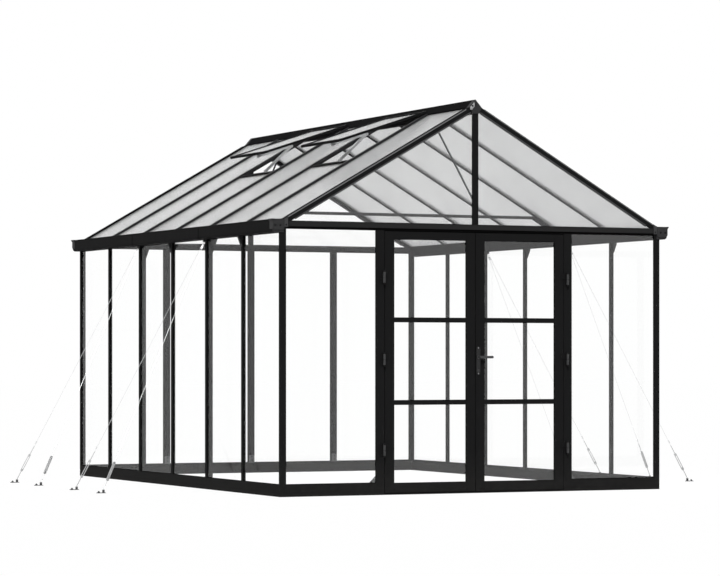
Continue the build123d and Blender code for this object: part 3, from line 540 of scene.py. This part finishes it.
class GREENHOUSE_OT_coat_frame(bpy.types.Operator):
    """Coat the bars, caps, hinges and pegs"""

    bl_idname = "greenhouse.coat_frame"
    bl_label = "Coat Frame"

    def execute(self, context):
        finish = context.scene.greenhouse_finish
        dust = finish.dust
        black = coated("Black Coat", finish.coat, dust, 0.5, 0.003, high=finish.coat_worn, specular=0.008)
        dress("black_frame", black)
        dress("dark_caps", coated("Moulded Cap", finish.cap, dust, 0.5, 0.002, pebble=700.0))
        dress("hinge_steel", coated("Gloss Fitting", finish.fitting, dust, 0.14, 0.003, specular=0.3))
        dress("peg_steel", coated("Peg Steel", finish.peg, dust, 0.5, 0.001, pebble=600.0))
        paint(("left_door_hinges", "right_door_hinges", "jamb_hinges"), black)
        # Ridge beam in a darker copy of the black coat: painted shade, drifting up to the plain coat tone
        painted_shade_tone = [value * 0.42 for value in finish.coat]
        paint(("ridge_beam",),
              coated("Ridge Coat Painted Shade", painted_shade_tone, dust, 0.55, 0.003, high=finish.coat, specular=0.004))
        # Roof bars, braces and tie bars in the lighter copy of the coat: painted sheen
        paint(("left_rafters", "right_rafters", "ridge_braces", "tie_bars"),
              coated("Roof Bar Coat Painted Sheen", finish.bar_coat_painted_sheen, dust, 0.5, 0.003, specular=0.008))
        paint(("lever_handle",), coated("Lever Coat", finish.lever, dust, 0.22, 0.001, specular=0.3))
        coated("Hinge Sleeve", finish.sleeve, dust, 0.22, 0.001, specular=0.3)
        coated("Satin Strip", finish.satin, dust, 0.16, 0.0008, specular=0.14)
        # Light grey strips on the gable rafters: painted highlight
        coated("Gable Highlight Strip", finish.strip, dust, 0.3, 0.0008)
        coated("Gable Bead", finish.bead, dust, 0.3, 0.0008)
        # Light strips on the roof bars: painted highlight
        coated("Bar Highlight Strip", finish.bar, dust, 0.3, 0.0008, specular=0.05)
        # Rubber of the gaskets and seals; the header strips under the noses use it as painted shade
        coated("Black Rubber And Painted Shade", finish.rubber_and_painted_shade, finish.rubber_and_painted_shade, 0.7, 0.0006, pebble=500.0, specular=0.02)
        coated("Dark Screw", finish.rubber_and_painted_shade, finish.fitting, 0.3, 0.0004, high=finish.fitting, pebble=700.0)
        # Alloy of the vent pins; on the ridge plates and handle plate screws its light tone is a painted
        # highlight
        coated("Bare Alloy And Painted Glint", finish.alloy_and_glint, finish.alloy_and_glint, 0.25, 0.0006, pebble=700.0, specular=0.4)
        return {"FINISHED"}


class GREENHOUSE_OT_glaze(bpy.types.Operator):
    """Glaze the walls and sheet the roof"""

    bl_idname = "greenhouse.glaze"
    bl_label = "Glaze"

    def execute(self, context):
        finish = context.scene.greenhouse_finish
        film = [value * 0.997 for value in finish.glass]
        clear, cloudy = (0.92, 0.93, 0.93), (0.6, 0.6, 0.6)
        glass_ior, thin_ior = 1.48, 1.1
        dress("clear_glass", see_through("Clear Glass", finish.glass, film, 0.0, 0.004, glass_ior, clear))
        paint(("left_wall_glass", "right_wall_glass", "back_wall_glass"),
              see_through("Wall Glass", finish.glass, film, 0.0, 0.004, thin_ior, clear))
        film = [value * 0.95 for value in finish.sheet]
        dress("frosted_sheet", see_through("Frosted Sheet", finish.sheet, film, 0.2, 0.06, thin_ior, cloudy,
                                           through=0.75))
        return {"FINISHED"}


class GREENHOUSE_OT_finish_metal(bpy.types.Operator):
    """Finish the opener arms, wires and turnbuckles"""

    bl_idname = "greenhouse.finish_metal"
    bl_label = "Finish Metal"

    def execute(self, context):
        finish = context.scene.greenhouse_finish
        dress("grey_opener", coated("Opener Alloy", finish.opener, finish.dust, 0.4, 0.001, pebble=800.0))
        steel = {"edge": 0.0005, "metallic": 1.0, "specular": 0.5}
        dress("steel_wire", coated("Wire Steel", finish.wire, finish.wire, 0.2, **steel))
        paint(("stay_turnbuckles",), coated("Turnbuckle Steel", finish.buckle, finish.dust, 0.3, **steel))
        coated("Foot Steel", finish.peg, finish.dust, 0.35, 0.0008, pebble=700.0, specular=0.2)
        return {"FINISHED"}


class GREENHOUSE_OT_finish_gutters(bpy.types.Operator):
    """Add the gutters' lips and seals, their caps' covers and screws, and the rafters' foot plates"""

    bl_idname = "greenhouse.finish_gutters"
    bl_label = "Finish Gutters"

    def execute(self, context):
        trims = context.scene.greenhouse_trim
        screws, covers, lips, seals, feet = [bmesh.new() for _ in range(5)]
        lip, plate, proud, half_seal = 0.006, 0.0018, 0.0012, 0.004
        screw_insets, screw_lift, cover, cover_height = (0.02, 0.058), 0.049, 0.012, 0.016
        cap_reach = 0.047
        for low, high in solids("gutter_end_caps"):
            end = side_of(low.y)
            face = low.y if end < 0.0 else high.y
            out = (0.0, end, 0.0)
            if high.x - low.x > WIDE_CAP:
                side = side_of(low.x)
                rim = low.x if side < 0.0 else high.x
                for inward in screw_insets:
                    add_screw(screws, (rim - side * inward, face, low.z + screw_lift), out, trims.screw)
                middle = (rim + side * 0.004, (low.y + high.y) / 2, high.z - 0.007)
                block = add_block(covers, middle, (cover, high.y - low.y, cover_height))
                kept = trim(covers, block, (rim + side * 0.010, 0.0, high.z - 0.005), (side, 0.0, -0.8))
                round_edges(covers, kept, trims.edge)
            else:
                front = face + end * plate
                add_plate(feet, (low.x + 0.002, face, low.z + 0.003), (high.x - 0.002, front, high.z - 0.012),
                          trims.edge)
                add_screw(screws, ((low.x + high.x) / 2, front, low.z + 0.016), out, trims.screw * 0.8)
        for node, side in (("left_gutter", -1.0), ("right_gutter", 1.0)):
            lengths = solids(node)
            foot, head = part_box(node)
            rim, end = foot[0] if side < 0.0 else head[0], head[1] - cap_reach
            x, z = rim - side * 0.001, head[2] - 0.003
            for low, high in lengths:
                start, stop = (x, max(low.y, -end), z), (x, min(high.y, end), z)
                add_run(lips, start, stop, OUTWARD, lip, lip, lip * 0.4)
            for first, second in clear_between(lengths, 1):
                middle = (first + second) / 2
                add_plate(seals, (rim, middle - half_seal, foot[2] + 0.003),
                          (rim + side * proud, middle + half_seal, head[2] - 0.001), 0.0004)
        put("cap_screws", screws, "Dark Screw")
        put("cap_covers", covers, "Moulded Cap")
        put("rafter_foot_plates", feet, "Hinge Sleeve")
        put("gutter_lips", lips, "Black Coat")
        put("gutter_seals", seals, "Black Rubber And Painted Shade")
        return {"FINISHED"}


class GREENHOUSE_OT_trim_headers(bpy.types.Operator):
    """Add the face strips of the headers, and near-black rubber strips under their noses that paint the noses'
    shade
    """

    bl_idname = "greenhouse.trim_headers"
    bl_label = "Trim Headers"

    def execute(self, context):
        trims = context.scene.greenhouse_trim
        faces, seals = bmesh.new(), bmesh.new()
        nose_height, step_back, face, seal, inset = 0.039, 0.010, 0.0012, 0.0025, 0.014
        for node, end in (("front_header", -1.0), ("back_header", 1.0)):
            low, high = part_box(node)
            nose = low[1] if end < 0.0 else high[1]
            web = nose - end * step_back
            top, under = high[2], high[2] - nose_height
            add_plate(faces, (low[0] + inset, nose, under + 0.001),
                      (high[0] - inset, nose + end * face, top - 0.002), 0.0005)
            # Near-black rubber strip on the recessed face under the nose: painted shade of the nose
            add_plate(seals, (low[0] + 0.002, web, low[2] + 0.0015),
                      (high[0] - 0.002, web + end * seal, under - 0.0005), trims.edge)
        put("header_faces", faces, "Satin Strip")
        put("header_shade_seals", seals, "Black Rubber And Painted Shade")
        return {"FINISHED"}


class GREENHOUSE_OT_trim_roof(bpy.types.Operator):
    """Add the bar strips and gable strips, whose light tone paints highlight lines, the beads, the ridge caps'
    plates, whose light tone paints a highlight, and their screws
    """

    bl_idname = "greenhouse.trim_roof"
    bl_label = "Trim Roof"

    def execute(self, context):
        trims = context.scene.greenhouse_trim
        bars, strips, beads, unders, glint_plates, screws = [bmesh.new() for _ in range(6)]
        plate, edge = trims.sheet_metal, trims.edge
        bar_span, gable_span, lip_span = (0.07, 1.70), (0.03, 1.68), (0.008, 1.59)
        bead_size, strip_width, lip_width, screw = (0.034, 0.004), 0.008, 0.0155, 0.0036
        bead_inset, lip_inset = 0.0225, 0.0018
        for node, side in (("left_rafters", -1.0), ("right_rafters", 1.0)):
            down, out = slope(side, trims.pitch)
            for low, high in solids(node):
                # Strip down the top of each roof bar in a light tone: a painted highlight line
                top = Vector((side * BAR_HEAD, (low.y + high.y) / 2, high.z)) + out * (plate / 2)
                add_slope_run(bars, top, down, bar_span, RIDGE_WAY, trims.strip, plate, 0.001)
                for along in (0.2, 0.55, 0.9, 1.25, 1.6):
                    add_screw(screws, top + down * along + out * (plate / 2), out, screw)
        for low, high in solids("gable_rafters"):
            side, end = side_of(low.x), side_of(low.y)
            down, out = slope(side, trims.pitch)
            top, front = Vector((side * GABLE_HEAD, 0.0, high.z)), Vector((0.0, end, 0.0))
            middle = top + front * (GABLE_FACE - bead_inset) + out * (bead_size[1] / 2)
            add_slope_run(beads, middle, down, gable_span, RIDGE_WAY, *bead_size, 0.0015)
            # Light strip on the front top edge of each gable rafter, tilted to face front and up: a painted
            # highlight line
            slant, tilt = top + front * GABLE_FACE - out * 0.0032, front * 0.866 - out * 0.5
            add_slope_run(strips, slant, down, gable_span, tilt, strip_width, plate, edge)
            lip = Vector((side * GABLE_LIP[0], 0.0, GABLE_LIP[1])) + front * (GABLE_FACE - lip_inset)
            add_slope_run(unders, lip, down, lip_span, front + out, lip_width, plate, edge)
        # Light alloy plate on one upper facet of each ridge end cap, the left one as seen from outside that
        # end: a painted highlight of the facet
        for low, high in solids("ridge_end_caps"):
            end = side_of(low.y)
            face, lean = end * RIDGE_FACE, (end * 0.30, end * 0.90, 0.30)
            kept = add_block(glint_plates, (end * 0.0310, face + end * 0.004, 2.780), (0.033, 0.008, 0.060))
            for point, normal in (((end * 0.047, 0.0, 2.7690), (end * 0.752, 0.0, 0.660)),
                                  ((end * 0.030, 0.0, 2.7560), (-end * 0.752, 0.0, -0.660)),
                                  ((end * 0.047, face + end * 0.0035, 2.7690), lean)):
                kept = trim(glint_plates, kept, point, normal)
            round_edges(glint_plates, kept, edge)
            add_screw(screws, (end * 0.0305, face + end * 0.0058, 2.7785), lean, trims.screw)
        put("bar_highlight_strips", bars, "Bar Highlight Strip")
        put("gable_highlight_strips", strips, "Gable Highlight Strip")
        put("gable_under_beads", unders, "Gable Bead")
        put("roof_screws", screws, "Dark Screw")
        put("gable_beads", beads, "Black Coat")
        put("ridge_highlight_plates", glint_plates, "Bare Alloy And Painted Glint")
        return {"FINISHED"}


class GREENHOUSE_OT_seal_panes(bpy.types.Operator):
    """Set gaskets round the wall panes and the door panes"""

    bl_idname = "greenhouse.seal_panes"
    bl_label = "Seal Panes"

    def execute(self, context):
        trims = context.scene.greenhouse_trim
        corners = solids("corner_posts")
        walls = bmesh.new()
        for side, node in ((-1.0, "left_wall_posts"), (1.0, "right_wall_posts")):
            posts = [box for box in corners if box[0].x * side > 0.0] + solids(node)
            for first, second in clear_between(posts, 1):
                self.seal(walls, 0, side, SIDE_GLASS, (first, second), (BASE_TOP, EAVE_FOOT), trims)
        posts = [box for box in corners if box[0].y > 0.0] + solids("back_wall_posts")
        for first, second in clear_between(posts, 0):
            self.seal(walls, 1, 1.0, END_GLASS, (first, second), (BASE_TOP, HEADER_FOOT), trims)
        posts = [box for box in corners if box[0].y < 0.0] + solids("door_jambs")
        spans = clear_between(posts, 0)
        for first, second in (spans[0], spans[-1]):
            self.seal(walls, 1, -1.0, END_GLASS, (first, second), (BASE_TOP, HEADER_FOOT), trims)
        put("wall_gaskets", walls, "Black Rubber And Painted Shade")
        for leaf in ("left", "right"):
            panes = bmesh.new()
            across = clear_between(solids(leaf + "_door_stiles"), 0)[0]
            for span in clear_between(solids(leaf + "_door_rails"), 2):
                self.seal(panes, 1, -1.0, END_GLASS, across, span, trims, False)
            put(leaf + "_door_gaskets", panes, "Black Rubber And Painted Shade", leaf + "_leaf")
        return {"FINISHED"}

    def seal(self, shape, across, side, face, span, height, trims, on_base=True):
        """Gasket outside and inside one pane, and a taller strip along its foot if it stands on the base."""
        for plane, step in ((face, trims.gasket_depth), (face - GLASS_THICK, -trims.gasket_depth)):
            low, high = Vector((0.0, 0.0, height[0])), Vector((0.0, 0.0, height[1]))
            low[1 - across], high[1 - across] = span
            low[across] = high[across] = side * plane
            add_ring(shape, low, high, across, trims.gasket, side * step)
        if on_base:
            high.z = low.z + trims.sill_gasket
            low[across], high[across] = side * (face + 0.0002), side * (face + trims.gasket_depth + 0.001)
            low[1 - across] += trims.edge
            high[1 - across] -= trims.edge
            add_plate(shape, low, high, trims.edge)


class GREENHOUSE_OT_fit_doors(bpy.types.Operator):
    """Add hinge sleeves, the lock, plate screws, and the door seals"""

    bl_idname = "greenhouse.fit_doors"
    bl_label = "Fit Doors"

    def execute(self, context):
        sleeve, pin, screw, strap_depth = 0.0088, 0.0062, 0.0042, 0.0357
        for node, body in (("jamb_hinges", "house"), ("left_door_hinges", "left_leaf"),
                           ("right_door_hinges", "right_leaf")):
            sleeves, dots = bmesh.new(), bmesh.new()
            for low, high in solids(node):
                side = side_of(low.x)
                x, y = side * HINGE_PIN[0], HINGE_PIN[1]
                if body == "house":
                    foot, head, strap = low.z + 0.006, low.z + 0.0435, JAMB_STRAP
                    tip, step = low.z - 0.001, -0.004
                else:
                    foot, head, strap = low.z + 0.0005, high.z - 0.006, LEAF_STRAP
                    tip, step = high.z + 0.001, 0.004
                add_barrel(sleeves, (x, y, foot), (x, y, head), sleeve, 0.0015)
                add_barrel(dots, (x, y, tip - step), (x, y, tip + step), pin, 0.002, 14)
                middle = (foot + head) / 2
                for z in (middle - 0.012, middle + 0.012):
                    add_screw(dots, (side * strap, low.y + strap_depth, z), FORWARD, screw)
            put(node + "_sleeves", sleeves, "Hinge Sleeve", body)
            put(node + "_pins", dots, "Dark Screw", body)
        self.fit_lock()
        self.fit_seals()
        return {"FINISHED"}

    def fit_lock(self):
        """Rose under the lever, keyhole collar and barrel, and the screws of the plates."""
        collars, barrels, screws = bmesh.new(), bmesh.new(), bmesh.new()
        low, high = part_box("handle_plates")
        middle = (low[0] + high[0]) / 2
        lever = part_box("lever_handle")
        for face, end in ((low[1], -1.0), (high[1], 1.0)):
            out = Vector((0.0, end, 0.0))
            spindle = Vector((middle, face, (lever[0][2] + lever[1][2]) / 2))
            lock = spindle - Vector(UP) * LOCK_DROP
            add_barrel(collars, spindle, spindle + out * 0.004, 0.0125, 0.0015, 24)
            add_barrel(collars, lock, lock + out * 0.0022, 0.0105, 0.001, 24)
            add_barrel(barrels, lock, lock + out * 0.0034, 0.0072, 0.0006, 20)
            # Light alloy screws and keyway slot on the handle plates; the screws' light tone is a painted
            # glint
            for height in PLATE_SCREWS:
                add_screw(screws, (middle, face, height), out, 0.0048)
            add_plate(screws, (middle - 0.0006, face, KEYWAY[0]),
                      (middle + 0.0006, face + end * 0.0040, KEYWAY[1]), 0.0002)
        put("lock_collars", collars, "Lever Coat", "right_leaf")
        put("lock_barrels", barrels, "Dark Screw", "right_leaf")
        put("plate_screws_painted_glint", screws, "Bare Alloy And Painted Glint", "right_leaf")

    def fit_seals(self):
        """Brush along the foot of each leaf, and a fin that covers the gap between the leaves."""
        edge = 0.0008
        for leaf in ("left", "right"):
            low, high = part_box(leaf + "_door_stiles")
            brush = bmesh.new()
            add_plate(brush, (low[0] + 0.004, low[1] + 0.003, low[2] - 0.0045),
                      (high[0] - 0.004, low[1] + 0.010, low[2] + 0.0002), edge)
            put(leaf + "_door_brush", brush, "Black Rubber And Painted Shade", leaf + "_leaf")
        low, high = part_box("left_door_stiles")
        fin = bmesh.new()
        add_plate(fin, (high[0] - 0.0005, low[1] + 0.017, low[2] + 0.006),
                  (high[0] + 0.0045, low[1] + 0.021, high[2] - 0.005), edge)
        put("meeting_fin", fin, "Black Rubber And Painted Shade", "left_leaf")


class GREENHOUSE_OT_rig_stays(bpy.types.Operator):
    """Add the ferrules at both ends of the stay wires"""

    bl_idname = "greenhouse.rig_stays"
    bl_label = "Rig Stays"

    def execute(self, context):
        ferrules = bmesh.new()
        ferrule, radius = 0.026, 0.0046
        for low, high in solids("stay_wires"):
            side = side_of(low.x)
            line = math.copysign(PORTAL_LINE, (low.y + high.y) / 2)
            near, far = (low.y, high.y) if abs(low.y - line) < abs(high.y - line) else (high.y, low.y)
            top = Vector((side * min(abs(low.x), abs(high.x)), near, high.z))
            foot = Vector((side * max(abs(low.x), abs(high.x)), far, low.z))
            along = (foot - top).normalized()
            length = (foot - top).length
            for start in (0.030, length - 0.045):
                add_barrel(ferrules, top + along * start, top + along * (start + ferrule), radius, 0.001, 12)
        put("stay_ferrules", ferrules, "Wire Steel")
        return {"FINISHED"}


class GREENHOUSE_OT_fit_vents(bpy.types.Operator):
    """Add the vents' pivot bolts, corner plates and their screws"""

    bl_idname = "greenhouse.fit_vents"
    bl_label = "Fit Vents"

    def execute(self, context):
        trims = context.scene.greenhouse_trim
        pins, plates, screws = bmesh.new(), bmesh.new(), bmesh.new()
        pin, screw, plate, beyond = 0.0052, 0.0032, 0.0016, 0.013
        for low, high in solids("vent_openers"):
            for x, z in VENT_PIVOTS:
                for face, end in ((low.y, -1.0), (high.y, 1.0)):
                    add_bolt(pins, (x, face, z), (0.0, end, 0.0), pin)
        down, out = slope(-1.0, trims.vent_pitch)
        for low, high in solids("vent_sashes"):
            if high.x - low.x > LONG_BAR:
                continue
            for y in (low.y - beyond, high.y + beyond):
                middle = Vector(((low.x + high.x) / 2, y, (low.z + high.z) / 2)) + out * 0.0098
                add_slope_run(plates, middle, down, (-0.012, 0.012), RIDGE_WAY, 0.022, plate, 0.0006)
                for shift in (-0.006, 0.006):
                    add_screw(screws, middle + down * shift + out * (plate / 2), out, screw)
        put("vent_pins", pins, "Bare Alloy And Painted Glint")
        put("vent_corner_plates", plates, "Satin Strip")
        put("vent_corner_screws", screws, "Dark Screw")
        return {"FINISHED"}


class GREENHOUSE_OT_bolt_frame(bpy.types.Operator):
    """Add the bolts of the portal knees, the feet of the back posts and the gussets of the jambs"""

    bl_idname = "greenhouse.bolt_frame"
    bl_label = "Bolt Frame"

    def execute(self, context):
        trims = context.scene.greenhouse_trim
        plate = trims.sheet_metal
        bolts, feet, screws = bmesh.new(), bmesh.new(), bmesh.new()
        foot, tab = 0.055, 0.024
        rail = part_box("back_base_rail")[0][1] + 0.0015
        jamb, jamb_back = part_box("door_jambs")[1][:2]
        for low, high in solids("portal_knees"):
            side = side_of(low.x)
            for x, z in KNEE_BOLTS:
                for face, end in ((low.y, -1.0), (high.y, 1.0)):
                    add_bolt(bolts, (side * x, face, z), (0.0, end, 0.0), 0.0055)
        for low, high in solids("back_wall_posts"):
            middle = (low.x + high.x) / 2
            near, top, tab_top = low.y - plate, BASE_TOP + plate, BASE_TOP + 0.065
            add_plate(feet, (middle - foot, rail, BASE_TOP), (middle + foot, low.y, top), trims.edge)
            add_plate(feet, (middle - tab, near, BASE_TOP), (middle + tab, low.y, tab_top), trims.edge)
            for shift in (-0.042, 0.042):
                add_bolt(screws, (middle + shift, rail + 0.008, top), UP, 0.005)
            for lift in (0.023, 0.049):
                add_screw(screws, (middle, near, BASE_TOP + lift), FORWARD, trims.screw)
        y = jamb_back - 0.016
        for side in (-1.0, 1.0):
            gusset = add_block(feet, (side * (jamb + 0.016), y, BASE_TOP + 0.0175), (0.059, plate, 0.060))
            kept = trim(feet, gusset, (side * (jamb + 0.045), 0.0, BASE_TOP), (side, 0.0, 1.0))
            round_edges(feet, kept, trims.edge)
            for inward, lift in ((0.009, 0.025), (0.025, 0.010)):
                add_screw(screws, (side * (jamb + inward), y - plate / 2, BASE_TOP + lift), FORWARD, 0.0045)
        put("knee_bolts", bolts, "Dark Screw")
        put("post_feet", feet, "Foot Steel")
        put("foot_screws", screws, "Dark Screw")
        return {"FINISHED"}


class GREENHOUSE_OT_set_stage(bpy.types.Operator):
    """Set the camera, the floor, the sky and the key light"""

    bl_idname = "greenhouse.set_stage"
    bl_label = "Set Stage"

    def execute(self, context):
        stage = context.scene.greenhouse_stage
        self.place_camera(context, stage)
        self.lay_floor(stage)
        self.light_sky(context, stage)
        self.hang_lamp(context, stage)
        context.scene.view_settings.view_transform = "Standard"
        return {"FINISHED"}

    def place_camera(self, context, stage):
        """Level camera with the frame shifted up, so upright bars stay upright."""
        data = bpy.data.cameras.new("Camera")
        data.sensor_width = 36.0
        data.lens = stage.lens
        data.shift_y = stage.lift
        data.clip_end = 500.0
        camera = bpy.data.objects.new("Camera", data)
        camera.location = stage.eye
        camera.rotation_euler = (math.radians(90.0), 0.0, stage.heading)
        context.scene.collection.objects.link(camera)
        context.scene.camera = camera

    def lay_floor(self, stage):
        """Pale floor that reads as the white background and keeps a soft shadow."""
        material, nodes, links, shader = new_material("Pale Floor")
        tree = material.node_tree
        speck = add_noise(tree, nodes.new("ShaderNodeTexCoord").outputs["Object"], 2.0, 2.0)
        tint = add_blend(tree, speck, (0.86, 0.86, 0.86, 1.0), (0.88, 0.88, 0.88, 1.0))
        links.new(tint, shader.inputs["Base Color"])
        shader.inputs["Roughness"].default_value = 0.9
        shader.inputs["Specular IOR Level"].default_value = 0.0
        glow = nodes.new("ShaderNodeEmission")
        glow.inputs["Strength"].default_value = 1.06
        share = add_math(tree, "MULTIPLY", self.seen_ray(tree), 0.86)
        mix = nodes.new("ShaderNodeMixShader")
        links.new(share, mix.inputs["Fac"])
        links.new(shader.outputs["BSDF"], mix.inputs[1])
        links.new(glow.outputs["Emission"], mix.inputs[2])
        links.new(mix.outputs["Shader"], nodes["Material Output"].inputs["Surface"])

        shape = bmesh.new()
        bmesh.ops.create_grid(shape, x_segments=1, y_segments=1, size=stage.floor_span / 2)
        floor = make_piece("Floor", shape, material)

    def seen_ray(self, tree):
        """One for rays that show the background itself or its mirror image, nought for diffuse light."""
        path = tree.nodes.new("ShaderNodeLightPath")
        seen = path.outputs["Is Camera Ray"]
        for kind in ("Is Glossy Ray", "Is Transmission Ray"):
            seen = add_math(tree, "MAXIMUM", seen, path.outputs[kind])
        return seen

    def light_sky(self, context, stage):
        """White to look at, softer as a light."""
        world = bpy.data.worlds.new("Studio")
        context.scene.world = world
        world.use_nodes = True
        tree = world.node_tree
        soft, white = (stage.sky, stage.sky, stage.sky, 1.0), (1.0, 1.0, 1.0, 1.0)
        tone = add_blend(tree, self.seen_ray(tree), soft, white)
        tree.links.new(tone, tree.nodes["Background"].inputs["Color"])

    def hang_lamp(self, context, stage):
        """Broad soft key light high up in front and to the left."""
        data = bpy.data.lights.new("Key Light", "SUN")
        data.energy = stage.key
        data.angle = stage.key_spread
        lamp = bpy.data.objects.new("Key Light", data)
        lamp.rotation_euler = Vector(stage.key_side).to_track_quat("Z", "Y").to_euler()
        context.scene.collection.objects.link(lamp)


class GREENHOUSE_PT_dressing(bpy.types.Panel):
    """Lists the steps that dress the greenhouse"""

    bl_idname = "GREENHOUSE_PT_dressing"
    bl_label = "Greenhouse"
    bl_space_type = "VIEW_3D"
    bl_region_type = "UI"
    bl_category = "Greenhouse"

    def draw(self, context):
        for step in STEPS:
            self.layout.operator(step.bl_idname)


STEPS = (
    GREENHOUSE_OT_coat_frame,
    GREENHOUSE_OT_glaze,
    GREENHOUSE_OT_finish_metal,
    GREENHOUSE_OT_finish_gutters,
    GREENHOUSE_OT_trim_headers,
    GREENHOUSE_OT_trim_roof,
    GREENHOUSE_OT_seal_panes,
    GREENHOUSE_OT_fit_doors,
    GREENHOUSE_OT_rig_stays,
    GREENHOUSE_OT_fit_vents,
    GREENHOUSE_OT_bolt_frame,
    GREENHOUSE_OT_set_stage,
)
CLASSES = (GreenhouseFinish, GreenhouseTrim, GreenhouseStage) + STEPS + (GREENHOUSE_PT_dressing,)


def register():
    for cls in CLASSES:
        bpy.utils.register_class(cls)
    bpy.types.Scene.greenhouse_finish = bpy.props.PointerProperty(type=GreenhouseFinish)
    bpy.types.Scene.greenhouse_trim = bpy.props.PointerProperty(type=GreenhouseTrim)
    bpy.types.Scene.greenhouse_stage = bpy.props.PointerProperty(type=GreenhouseStage)


def unregister():
    del bpy.types.Scene.greenhouse_stage
    del bpy.types.Scene.greenhouse_trim
    del bpy.types.Scene.greenhouse_finish
    for cls in reversed(CLASSES):
        bpy.utils.unregister_class(cls)


def main():
    register()
    bpy.ops.greenhouse.coat_frame()
    bpy.ops.greenhouse.glaze()
    bpy.ops.greenhouse.finish_metal()
    bpy.ops.greenhouse.finish_gutters()
    bpy.ops.greenhouse.trim_headers()
    bpy.ops.greenhouse.trim_roof()
    bpy.ops.greenhouse.seal_panes()
    bpy.ops.greenhouse.fit_doors()
    bpy.ops.greenhouse.rig_stays()
    bpy.ops.greenhouse.fit_vents()
    bpy.ops.greenhouse.bolt_frame()
    bpy.ops.greenhouse.set_stage()


if __name__ == "__main__":
    main()
